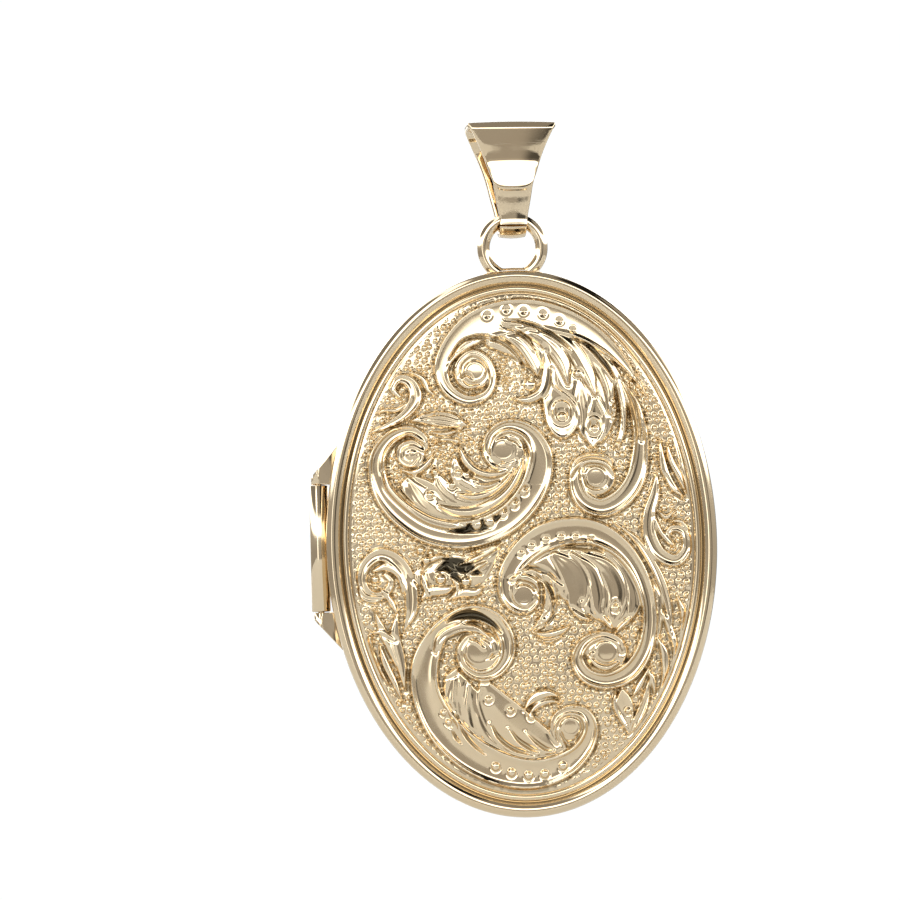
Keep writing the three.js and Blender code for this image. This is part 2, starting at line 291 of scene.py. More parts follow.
class Relief:
    """Heights over the panel's ground at the points x, z. What is chased later lies over what came before."""

    def __init__(self, x, z):
        self.x = x
        self.z = z
        self.height = np.zeros_like(x)
        self.ground = np.ones_like(x)  # share of each point that is left for the beaded ground
        # Painted shade: the share of each point coloured near-black, for the shade and dark reflections in
        # gouges.
        self.painted_shade = np.zeros_like(x)

    def near(self, line, reach):
        low, high = line[:, :2].min(0) - reach, line[:, :2].max(0) + reach
        inside = (self.x > low[0]) & (self.x < high[0]) & (self.z > low[1]) & (self.z < high[1])
        return np.nonzero(inside)[0]

    def measure(self, line, pick):
        """For each point: its distance outside the tapered line, the half-width there, and its side."""
        x, z = self.x[pick], self.z[pick]
        out = np.full(len(pick), np.inf)
        wide = np.ones(len(pick))
        side = np.zeros(len(pick))
        for (ax, az, aw), (bx, bz, bw) in zip(line, line[1:]):
            dx, dz = bx - ax, bz - az
            share = np.clip(((x - ax) * dx + (z - az) * dz) / (dx * dx + dz * dz + 1e-12), 0, 1)
            qx, qz = x - ax - share * dx, z - az - share * dz
            width = np.maximum(aw + share * (bw - aw), 0.02)
            distance = np.hypot(qx, qz) - width
            closer = distance < out
            out = np.where(closer, distance, out)
            wide = np.where(closer, width, wide)
            side = np.where(closer, np.sign(dx * qz - dz * qx), side)
        return out, wide, side

    def band(self, points, level=0.26, rim=0.07, rim_width=0.22, dish=0.06, edge=0.11, crest=0.0):
        """A raised strip with a rolled rim, hollow between the rims or raised to a crest."""
        line = spline(points)
        pick = self.near(line, line[:, 2].max() + 0.3)
        out, wide, _ = self.measure(line, pick)
        inside = -out
        roll = np.minimum(rim_width, wide * 0.55)
        middle = np.clip(inside / wide, 0, 1)
        height = level + rim * np.sin(np.pi * np.clip(inside / roll, 0, 1) ** 0.8) ** 2
        height -= dish * middle * (2 - middle) * smooth(inside / roll - 0.4)
        height += crest * middle
        ditched = self.height[pick] - 0.04 * np.exp(-(((out - 0.04) / 0.07) ** 2)) * (out > -0.05)
        cover = smooth((inside + edge * 0.3) / edge)
        self.height[pick] = ditched * (1 - cover) + height * cover
        self.ground[pick] = np.minimum(self.ground[pick], smooth((out - 0.02) / 0.08))
        self.painted_shade[pick] *= 1 - cover

    def leaf(self, points, level=0.16, rim=0.03, crest=0.08):
        self.band(points, level, rim, rim_width=0.14, dish=0.0, edge=0.06, crest=crest)

    def field(self, points, level=0.17):
        """The smooth raised ground of a leaf mass."""
        self.band(points, level, rim=0.0, rim_width=0.3, dish=-0.05, edge=0.14)

    def hub(self, x, z, radius):
        """The ground that a scroll coils round."""
        self.field([(x - 0.01, z, radius), (x + 0.01, z, radius)], level=0.2)

    def gash(self, points, depth=0.14, lift=0.05, painted_shade=0.35):
        """A curved gouge with painted shade inside, and a raised lip along its right-hand side."""
        line = spline(points)
        pick = self.near(line, line[:, 2].max() + 0.25)
        out, wide, side = self.measure(line, pick)
        across = np.clip((out + wide) / wide, 0, 1)
        self.height[pick] -= depth * (1 - across**2) ** 0.8
        self.height[pick] += lift * np.exp(-(((out - 0.07) / 0.06) ** 2)) * (side < 0) * (out > -0.05)
        self.painted_shade[pick] = np.maximum(self.painted_shade[pick], painted_shade * smooth(-out / 0.06))

    def pearl(self, x, z, radius, rise):
        pick = self.near(np.array([[x, z]]), radius + 0.25)
        distance = np.hypot(self.x[pick] - x, self.z[pick] - z)
        under = distance < radius
        base = self.height[pick] - 0.05 * np.exp(-(((distance - radius - 0.02) / 0.05) ** 2))
        dome = rise * np.sqrt(np.clip(1 - (distance / radius) ** 2, 0, 1))
        cap = np.median(self.height[pick][under]) + dome
        self.height[pick] = np.where(under, np.maximum(cap, base), base)
        self.ground[pick] *= distance > radius + 0.05
        self.painted_shade[pick] *= ~under

    def eye(self, x, z, radius, level=0.25):
        """The flat round end of a scroll."""
        self.band([(x - 0.01, z, radius), (x + 0.01, z, radius)], level, rim=0.03, rim_width=0.14, dish=-0.02)

    def pit(self, x, z, radius=0.11, depth=0.1):
        pick = self.near(np.array([[x, z]]), 4 * radius)
        distance = np.hypot(self.x[pick] - x, self.z[pick] - z) / radius
        self.height[pick] += depth * (0.3 * np.exp(-(((distance - 1.5) / 0.5) ** 2)) - np.exp(-(distance**2)))

    def beads(self, pitch=0.36, radius=0.125, rise=0.12):
        """A beaded ground, in uneven rows, wherever nothing else was chased."""
        row_height = pitch * math.sqrt(3) / 2
        first_row = np.floor(self.z / row_height).astype(int)
        nearest = np.full_like(self.x, np.inf)
        size = np.ones_like(self.x)
        for row in (first_row - 1, first_row, first_row + 1):
            shift = 0.5 * (row % 2)
            first = np.floor(self.x / pitch - shift).astype(int)
            for column in (first - 1, first, first + 1, first + 2):
                key = (column * 7919 + row * 104729 + 4) % 65521
                across, along, grow = ((key * factor % 65521) / 65521 for factor in (48271, 16807, 39373))
                x = (column + shift + 0.5 + 0.4 * (across - 0.5)) * pitch
                z = (row + 0.5 + 0.4 * (along - 0.5)) * row_height
                bead = radius * (0.8 + 0.4 * grow)
                distance = np.hypot(self.x - x, self.z - z) / bead
                size = np.where(distance < nearest, bead, size)
                nearest = np.minimum(nearest, distance)
        cap = np.sqrt(np.clip(1 - nearest**2, 0, 1))
        self.height += rise * cap * (size / radius) * self.ground


# What is chased, from first to last. Points are (x, z, half-width) from the oval's centre.

def chase_side_leaves(art):
    """The long leaves down both sides."""
    # Long leaves down the right side.
    for points in (
        [(6.9, 4.4, .05), (7.05, 3.6, .16), (7.5, 2.7, .16), (7.75, 1.9, .04)],
        [(7.25, 4.5, .04), (7.55, 3.6, .13), (7.9, 2.6, .1), (8, 2.1, .03)],
        [(6.55, 4.6, .05), (6.65, 3.5, .2), (6.95, 2.7, .16), (7.6, 1.85, .04)],
        [(7.1, -2.6, .04), (7.4, -3.5, .17), (7.4, -4.4, .17), (7.1, -5.3, .04)],
        [(7.6, -2.9, .03), (7.75, -3.6, .1), (7.6, -4.8, .1), (7.2, -5.9, .03)],
        [(6.3, -3.2, .04), (6.75, -4.2, .17), (7, -5.3, .14), (6.7, -6.4, .04)],
        [(6.05, -4.4, .05), (6.45, -5.3, .2), (6.45, -6.3, .17), (6.2, -7.3, .05)],
        [(5.6, -5.9, .04), (5.85, -6.5, .16), (5.95, -7.2, .05)],
        [(5.75, -5.9, .04), (5.25, -6.8, .15), (4.9, -7.3, .04)],
    ):
        art.leaf(points)
    art.band([(5.7, -6.6, .06), (5.5, -7.5, .2), (5.15, -8.3, .22), (4.75, -9, .06)], level=.18)
    art.leaf([(4.45, -6.9, .08), (4.55, -7.8, .42), (4.75, -8.9, .05)], crest=-.02, rim=.09, level=.14)
    art.pearl(4.68, -7.95, .15, .14)
    art.leaf([(4.15, -7, .05), (4.1, -7.8, .12), (4.7, -9, .04)])
    # Long leaves down the left side.
    for points in (
        [(-6.9, -3, .05), (-6.6, -3.9, .2), (-6.2, -4.8, .18), (-6, -5.6, .04)],
        [(-7.15, -3.9, .04), (-7.15, -4.8, .16), (-6.8, -5.7, .14), (-6.3, -6.5, .03)],
        [(-5.9, -3.3, .1), (-6, -4.3, .27), (-5.75, -5.5, .25), (-5.6, -6.7, .05)],
        [(-6.7, -4.6, .05), (-6.5, -5.4, .16), (-6.05, -6.4, .14), (-5.7, -7.3, .03)],
        [(-7.1, -4.05, .05), (-6.6, -4, .13), (-6, -4.4, .04)],
    ):
        art.leaf(points)


def chase_small_scrolls(art):
    """The three small scrolls by the rim."""
    # Small scroll, left.
    art.band([(-5.55, -3.9, .08), (-5.2, -3, .3), (-5.25, -1.8, .36), (-5.75, -.8, .36), (-6.6, -.42, .33),
        (-7.3, -.9, .28), (-7.45, -1.7, .24), (-7, -2.3, .22), (-6.4, -2.2, .2), (-6.1, -1.7, .16),
        (-6.35, -1.35, .14)], level=.2, rim=.07)
    art.leaf([(-6.9, -1.15, .1), (-6.3, -1, .2), (-5.75, -1.4, .16), (-5.6, -2.2, .05)])
    art.leaf([(-6.6, -2, .05), (-6.2, -2.5, .16), (-5.8, -3.3, .04)])
    art.pearl(-6.85, -1.55, .2, .16)
    art.band([(-7.65, -1.9, .05), (-7.4, -2.35, .15), (-6.9, -2.5, .16), (-6.4, -2.4, .05)], level=.18)
    # Small scroll, right.
    art.band([(6.35, 3, .06), (6.25, 2.1, .26), (5.95, 1.1, .33), (5.95, .1, .36), (6.4, -.75, .34),
        (7.15, -1.05, .3), (7.65, -.5, .26), (7.55, .25, .22), (7.05, .45, .18), (6.75, .1, .14),
        (6.95, -.2, .12)], level=.2, rim=.07)
    art.leaf([(6.35, 1.3, .04), (6.75, .95, .14), (7.15, 1.3, .04)])
    art.leaf([(6.2, 1, .04), (6.45, .3, .14), (6.9, -.25, .12), (7.1, -.3, .04)])
    art.leaf([(6.9, .75, .05), (7.4, .75, .13), (7.8, .35, .04)])
    art.leaf([(6.75, 2.8, .04), (7.05, 2.3, .1), (7.55, 1.9, .04)])
    # Small scroll, upper left, with its two tails.
    art.band([(-7, 5.25, .05), (-6.2, 5.55, .14), (-5.3, 6.05, .25), (-4.75, 6.8, .33), (-4.95, 7.55, .3),
        (-5.5, 7.75, .22), (-5.8, 7.3, .17), (-5.5, 6.95, .13)], level=.22, rim=.06)
    art.leaf([(-4.95, 8.05, .05), (-4.4, 7.75, .16), (-4.15, 7.2, .14), (-3.75, 6.85, .03)])
    art.leaf([(-6.7, 6.1, .03), (-6.2, 6.3, .1), (-5.6, 6.3, .12), (-5.1, 6.65, .03)])
    art.pearl(-5.35, 7.25, .16, .12)


def chase_heart_scroll(art):
    """The heart-shaped scroll, and the veined leaf above it."""
    # Veined leaf between the upper scrolls.
    art.leaf([(-5, 5.75, .05), (-4.2, 5.85, .28), (-3.2, 5.75, .36), (-2.3, 5.45, .05)], level=.2,
        crest=.04)
    for dz in (-.2, 0, .2):
        art.gash([(-4.5, 5.8 + dz * .5, .02), (-3.6, 5.82 + dz, .07), (-2.75, 5.6 + dz * .8, .02)],
            depth=.1)
    art.leaf([(-4.1, 5.2, .04), (-3.4, 5.1, .13), (-2.6, 5.35, .04)])
    art.leaf([(-4, 4.75, .04), (-3.3, 4.85, .11), (-2.5, 4.6, .04)])
    for x, z in ((-3.8, 4.2), (-3.5, 4.55), (-3.3, 4.1), (-2.9, 4.75), (-2.2, 4.7), (-3.1, 4.35)):
        art.pearl(x, z, .15, .13)
    # Leaves that fill the heart-shaped scroll.
    art.field([(-5.1, 2.7, .5), (-4, 2, .8), (-2.7, 1.9, 1.1), (-1.3, 2.3, 1.15), (-.4, 3.2, .9),
        (0, 4, .4)])
    art.leaf([(-5.5, 3.5, .05), (-4.9, 3.35, .15), (-4.3, 3.75, .16), (-4, 4.1, .05)])
    art.leaf([(-5.2, 3.1, .1), (-4.7, 2.55, .42), (-4.2, 1.9, .45), (-3.3, 1.35, .3), (-2.4, 1.2, .1)],
        level=.12)
    art.leaf([(-4.95, 3.2, .05), (-4.3, 2.9, .15), (-3.7, 2.5, .14), (-3.4, 2.1, .04)])
    art.leaf([(-3.9, 3.3, .15), (-3.6, 2.7, .36), (-3, 2.2, .4), (-2, 1.9, .4), (-1, 2.2, .36),
        (-.3, 2.9, .25), (.05, 3.6, .08)], level=.16)
    art.leaf([(-3, 3.9, .15), (-2.9, 3.2, .36), (-2.4, 2.75, .34), (-1.6, 2.5, .3), (-.8, 2.8, .2),
        (-.3, 3.4, .06)], level=.2)
    art.leaf([(-3.75, 1.75, .06), (-3.1, 1.5, .2), (-2.3, 1.45, .24), (-1.4, 1.75, .22), (-.6, 2.35, .2),
        (-.05, 3.2, .16), (.12, 3.8, .04)], level=.22, crest=.16)
    art.leaf([(-2.9, 2.25, .05), (-2.2, 2.12, .16), (-1.4, 2.3, .16), (-.7, 2.8, .1), (-.4, 3.2, .03)],
        level=.24, crest=.14)
    art.leaf([(-2.05, 2.7, .04), (-1.5, 2.6, .1), (-.95, 2.8, .03)], level=.26, crest=.1)
    art.leaf([(-2.75, 4.5, .06), (-2.55, 3.9, .2), (-2.1, 3.4, .2), (-1.4, 3.15, .17), (-.7, 3.3, .14),
        (-.1, 3.95, .04)], level=.24, crest=.14)
    for x, z in ((-4.2, 2.28), (-3.15, 2.7), (-2.45, 3.2), (-2.85, 3.25), (-3.95, 3.35), (-3.35, 3.5)):
        art.pearl(x, z, .15, .12)
        art.pit(x - .08, z + .2, .07, .1)
    # Heart-shaped scroll with a volute at each end.
    art.hub(-.75, 4.3, 1)
    art.hub(-5, 4.2, .65)
    art.band([(-4.7, 4.05, .1), (-5.05, 3.72, .13), (-5.5, 3.95, .17), (-5.5, 4.5, .19), (-4.95, 4.72, .2),
        (-4.4, 4.4, .1)], level=.2)
    art.band([(-4.25, 4.4, .05), (-4.45, 4.95, .22), (-5.1, 5.3, .28), (-5.95, 5, .36), (-6.55, 4.2, .42),
        (-6.6, 3.2, .47), (-6.2, 2.2, .55), (-5.4, 1.35, .62), (-4.3, .65, .66), (-3, .38, .68),
        (-1.7, .55, .68), (-.5, 1.15, .68), (.4, 2.1, .68), (.9, 3.2, .66), (.95, 4.2, .56),
        (.45, 5.05, .44), (-.4, 5.4, .34), (-1.15, 5.1, .3), (-1.5, 4.4, .26), (-1.3, 3.75, .2),
        (-.75, 3.5, .14), (-.2, 3.75, .05)], level=.26, rim=.1, rim_width=.26, dish=.09)
    art.eye(-.75, 4.3, .56)
    art.gash([(-.45, 4.75, .02), (-.15, 4.7, .06), (.05, 4.4, .02)], depth=.08)
    art.gash([(-1.3, 3.9, .02), (-1, 3.65, .07), (-.7, 3.7, .02)], depth=.1)
    art.eye(-5, 4.2, .2, level=.24)
    art.band([(-6.3, 3.4, .04), (-6.15, 2.7, .1), (-5.5, 1.95, .13), (-4.5, 1.2, .16), (-3.5, .85, .17),
        (-2.6, .72, .1)], level=.34, rim=.05, dish=0)
    art.gash([(-3.4, .62, .03), (-2.7, .62, .16), (-1.8, .82, .3), (-1.1, 1.15, .12), (-.7, 1.45, .03)],
        depth=.14, lift=0, painted_shade=1)
    for x, z in ((-2.08, .84), (-1.5, .98)):
        art.pearl(x, z, .27, .2)
    for x, z in ((-.85, 1.28), (-.3, 1.7), (.18, 2.3)):
        art.pearl(x, z, .14, .1)
        art.pit(x + .12, z + .22, .09, .12)


def chase_sprig(art):
    """The sprig between the three great scrolls."""
    art.field([(-4.7, -1.5, .45), (-3.4, -1.5, .85), (-2.3, -1.2, .75), (-1.1, -.2, .15)], level=.06)
    art.leaf([(-4.7, -2.5, .08), (-4.3, -2.2, .25), (-3.6, -2.15, .22), (-3.2, -2, .05)], level=.2)
    art.leaf([(-3.5, -2.6, .05), (-2.9, -2.3, .22), (-2.2, -2.3, .2), (-1.9, -2.05, .05)], level=.2)
    art.leaf([(-4.6, -1.1, .06), (-4.3, -.75, .16), (-3.8, -.6, .12), (-3.4, -.65, .03)], level=.2)
    art.leaf([(-4.65, -1.3, .05), (-4.55, -1.9, .16), (-4.3, -2.5, .05)], level=.2)
    art.gash([(-4, -1.25, .05), (-3.3, -.95, .34), (-2.6, -1.15, .3), (-1.9, -1.45, .05)], depth=.16,
        lift=0, painted_shade=1)
    art.gash([(-3.5, -1, .2), (-3.1, -1.6, .2), (-3, -2.1, .05)], depth=.12, lift=0, painted_shade=1)
    for points in (
        [(-2.95, -1, .03), (-2.2, -.75, .12), (-1.4, -.35, .1), (-.9, 0, .03)],
        [(-2.55, -1.4, .03), (-2.1, -1.15, .11), (-1.65, -.9, .03)],
        [(-2.6, -.5, .03), (-1.9, -.35, .1), (-1.2, -.1, .03)],
        [(-3.3, -1.6, .05), (-3.05, -1.9, .14), (-3.1, -2.3, .04)],
    ):
        art.leaf(points, level=.2)
    for x, z, rad in ((-3.8, -1.65, .24), (-2.65, -1.78, .24), (-4.45, -.75, .2), (-4.7, -.25, .2),
            (-4.25, -.4, .15)):
        art.pearl(x, z, rad, .2)


def chase_centre_right_scroll(art):
    """The great scroll right of the centre."""
    # Leaves of the centre-right scroll.
    art.field([(.2, -1.3, .6), (1.4, -1.2, .9), (2.6, -1.7, 1.3), (3.5, -2.1, 1.5), (4.2, -2.9, 1.15),
        (4.1, -4, .2)])
    art.leaf([(3.6, -.2, .15), (4.6, -.9, .4), (5.1, -2, .36), (5.15, -3, .3), (4.8, -3.9, .08)], level=.16,
        crest=.04)
    art.leaf([(2.9, -.7, .15), (3.9, -1.4, .4), (4.35, -2.4, .42), (4.2, -3.3, .3), (3.95, -4, .06)],
        level=.19, crest=.04)
    art.leaf([(2.3, -.7, .15), (3.1, -1.5, .34), (3.4, -2.5, .32), (3.45, -3.3, .2), (4, -4.1, .05)],
        level=.22, crest=.04)
    art.leaf([(1.5, -.7, .2), (2.2, -1.4, .5), (2.5, -2.3, .5), (2.4, -3.1, .3), (3, -3.75, .06)], level=.2,
        crest=.04)
    art.leaf([(2.2, -3.2, .05), (2.6, -3.55, .14), (3.1, -3.7, .05)], level=.28)
    art.leaf([(.35, -4.2, .04), (1, -4.35, .17), (1.7, -4.2, .17), (2.1, -3.95, .04)], level=.2)
    art.leaf([(.5, -4.5, .03), (1.1, -4.65, .1), (1.7, -4.45, .03)], level=.16)
    art.leaf([(3.7, -3.6, .04), (3.9, -3.95, .13), (4.05, -4.2, .04)], level=.24)
    art.leaf([(4.15, -4.35, .04), (4.55, -4, .12), (4.95, -3.65, .04)], level=.2)
    art.pearl(4.25, -3.2, .16, .12)
    art.pit(4.25, -2.92, .1, .12)
    art.pit(2.7, -2.75, .08, .1)
    # Centre-right scroll.
    art.hub(0, -2.5, .75)
    art.hub(3.75, -5.2, 1)
    art.band([(4.5, -5.2, .08), (4.3, -4.7, .17), (3.55, -4.42, .2), (2.75, -4.75, .27), (2.4, -5.5, .32),
        (2.8, -6.25, .38), (3.75, -6.55, .42), (4.8, -6.15, .46), (5.5, -5.2, .42), (5.8, -4, .38),
        (5.75, -2.7, .38), (5.3, -1.4, .42), (4.5, -.35, .5), (3.4, .3, .6), (2.2, .42, .66), (1, .15, .66),
        (0, -.55, .6), (-.65, -1.5, .52), (-.75, -2.4, .42), (-.4, -3, .3), (.15, -3.15, .22),
        (.6, -2.75, .15), (.55, -2.3, .06)], level=.26, rim=.1, rim_width=.24, dish=.08)
    art.band([(.3, -1.15, .06), (.95, -1.55, .22), (1.25, -2.3, .3), (1.15, -3.2, .3), (.75, -3.85, .2),
        (.35, -4.1, .05)], level=.2, rim=.08)
    art.gash([(-.25, -1.45, .02), (.4, -1.2, .08), (1.1, -1.45, .09), (1.8, -2.05, .02)], depth=.14,
        painted_shade=.6)
    art.gash([(.6, -1.55, .02), (1.2, -2.15, .07), (1.4, -3, .07), (1.15, -3.7, .06), (.4, -4.12, .02)],
        depth=.2, painted_shade=.8)
    art.band([(-.55, -1.75, .05), (0, -1.65, .15), (.5, -1.85, .14), (.75, -2.3, .05)], level=.34, rim=.05,
        dish=0)
    art.eye(0, -2.5, .5)
    for x, z in ((.85, -3), (.75, -3.35), (.95, -3.3), (.65, -3.7), (.9, -3.65)):
        art.pearl(x, z, .1, .07)
    for x, z in ((-.08, -.55), (.42, -.22), (1.1, .05), (1.8, .16), (2.48, .14), (3.15, -.1)):
        art.pearl(x, z, .12, .07)
        art.pit(x + .1, z + .14, .07, .08)
    art.eye(3.75, -5.2, .52)
    art.band([(2.95, -5.4, .05), (3.3, -5.8, .12), (3.8, -5.95, .13), (4.3, -5.7, .05)], level=.32, rim=.05,
        dish=0)
    art.pearl(3.1, -5.3, .13, .1)
    # Outer stem that leaves the centre-right scroll.
    art.band([(4.4, .75, .05), (5.3, -.05, .14), (6, -1.1, .2), (6.5, -2.3, .22), (6.75, -3.5, .16),
        (6.8, -4.5, .04)], level=.18)
    art.band([(6, -1.9, .04), (6.3, -2.9, .13), (6.25, -4, .14), (6, -5.2, .04)], level=.16)


def chase_top_scroll(art):
    """The great scroll at the top, and the stem down its right."""
    # Leaves of the top scroll.
    art.field([(-1, 9.6, .6), (.6, 9.3, 1), (2, 8.6, 1.4), (3.1, 7.3, 1.35), (3.7, 5.9, .9),
        (3.8, 4.6, .15)], level=.2)
    art.leaf([(3.4, 9.2, .06), (4.25, 8.2, .24), (4.75, 7.2, .24), (4.9, 6.2, .2), (4.85, 5, .14),
        (4.6, 4.2, .04)], level=.24)
    art.leaf([(2.95, 7.5, .08), (2.95, 6.5, .3), (3.05, 5.4, .36), (3.35, 4.7, .26), (3.5, 4.3, .05)],
        level=.2)
    art.leaf([(3.6, 6.6, .1), (3.65, 5.6, .46), (3.5, 4.9, .4), (3.4, 4.35, .08)], level=.2, crest=-.04,
        rim=.08)
    art.leaf([(1.6, 7.9, .1), (1.5, 7, .36), (2, 5.9, .8), (2.05, 5.3, .58), (2.05, 4.9, .08)], level=.2,
        crest=-.03, rim=.1)
    art.leaf([(2.9, 9.4, .06), (3.8, 8.2, .3), (4.25, 7.1, .26), (4.3, 5.9, .1)], level=.27)
    art.leaf([(1, 10, .1), (2.4, 9.2, .34), (3.2, 7.9, .36), (3.6, 6.8, .1)], level=.3)
    art.leaf([(-.3, 10.1, .08), (1.2, 9.5, .34), (2.1, 8.4, .34), (2.35, 7.3, .08)], level=.32)
    art.leaf([(-.9, 9.85, .06), (.25, 9.2, .3), (.85, 8.25, .28), (.95, 7.7, .06)], level=.34)
    art.leaf([(1.3, 9, .06), (1.4, 8, .2), (1.15, 7, .24), (.5, 6.6, .2), (-.2, 6.65, .05)], level=.22)
    art.leaf([(4.75, 5.6, .03), (4.7, 4.9, .1), (4.4, 4.3, .04)])
    for x, z, a, b in ((2.02, 5.95, .44, .2), (3.5, 5.3, .32, .16)):
        art.band([(x, z + .14, a), (x + .01, z - .12, a)], level=.2, rim=.08, rim_width=.2, dish=.08)
        art.pearl(x + .02, z - .2 * a / .46, b, .16)
    art.pearl(2.82, 7.75, .18, .14)
    art.pearl(.6, 7.3, .3, .14)
    art.pearl(.7, 7.65, .13, .1)
    for i in range(6):
        art.pearl(4.45 + .05 * (i % 2), 6.4 - .4 * i, .11, .1)
    for x, z in ((-.65, 8.2), (-.45, 7.9), (-.7, 7.75), (-.35, 7.55), (-.55, 7.3), (-.6, 8.5), (-.8, 7.5)):
        art.pearl(x, z, .13, .1)
    # Top scroll, and the stem that carries it round to the right-hand volute.
    art.hub(3.5, 2.92, .95)
    art.hub(-1.95, 7.98, .85)
    art.band([(6, 6.6, .03), (5.75, 7.2, .1), (5.3, 7.7, .2)], level=.14)
    art.band([(4.35, 3.15, .05), (4.1, 3.7, .16), (3.35, 3.85, .22), (2.7, 3.5, .3), (2.6, 2.6, .38),
        (2.95, 1.8, .44), (3.8, 1.48, .48), (4.75, 1.95, .5), (5.4, 2.9, .5), (5.65, 4.2, .42),
        (5.6, 5.4, .36), (5.3, 6.5, .26), (4.85, 7.4, .05)], level=.24, rim=.1, rim_width=.24, dish=.08)
    art.eye(3.5, 2.92, .5)
    art.gash([(3.02, 3, .02), (3.1, 2.6, .06), (3.45, 2.35, .05), (3.9, 2.4, .02)], depth=.1)
    art.band([(2.35, 2.95, .03), (2.65, 3.45, .1), (3.3, 3.66, .12), (4, 3.5, .1), (4.35, 3, .04)],
        level=.34, rim=.05, dish=0)
    art.leaf([(5.25, 6.9, .03), (5.6, 6.2, .1), (5.75, 5.3, .1), (5.7, 4.6, .03)], level=.34)
    art.band([(5.55, 7.35, .05), (5.1, 8.05, .24), (4.3, 8.95, .4), (3.3, 9.75, .54), (2.1, 10.3, .66),
        (.7, 10.6, .76), (-.7, 10.45, .85), (-1.95, 10, .78), (-2.95, 9.2, .56), (-3.5, 8.2, .38),
        (-3.25, 7.25, .33), (-2.4, 6.65, .28), (-1.5, 6.85, .22), (-1.1, 7.6, .18), (-1.35, 8.5, .17),
        (-2.05, 8.88, .17), (-2.7, 8.4, .16), (-2.75, 7.7, .15), (-2.35, 7.25, .12), (-1.8, 7.3, .06)],
        level=.3, rim=.08, rim_width=.22, dish=.03)
    art.eye(-1.95, 7.98, .5)
    art.gash([(-2.6, 7.75, .03), (-2.3, 7.85, .1), (-2.05, 7.6, .03)], depth=.12)
    art.gash([(-3.15, 8.6, .02), (-2.5, 9.4, .07), (-1.6, 9.6, .1), (-.6, 9.3, .1), (.1, 8.6, .07),
        (.35, 7.9, .02)], depth=.2)
    art.gash([(-.5, 10.35, .02), (.3, 10.25, .07), (1.2, 9.9, .1), (2, 9.4, .09), (2.5, 8.9, .02)],
        depth=.16, painted_shade=.8)
    art.gash([(-.6, 10.05, .02), (.1, 9.8, .07), (.6, 9.35, .07), (.85, 8.95, .02)], depth=.14, painted_shade=.6)
    art.gash([(2.85, 9.35, .03), (3.5, 8.9, .1), (4.1, 8.2, .11), (4.5, 7.5, .03)], depth=.16, painted_shade=.8)
    for x, z in ((-1.3, 10.6), (-.4, 10.85), (.4, 10.75), (1.3, 10.6), (2.05, 10.25), (2.65, 9.8)):
        art.pit(x, z, .13, .09)


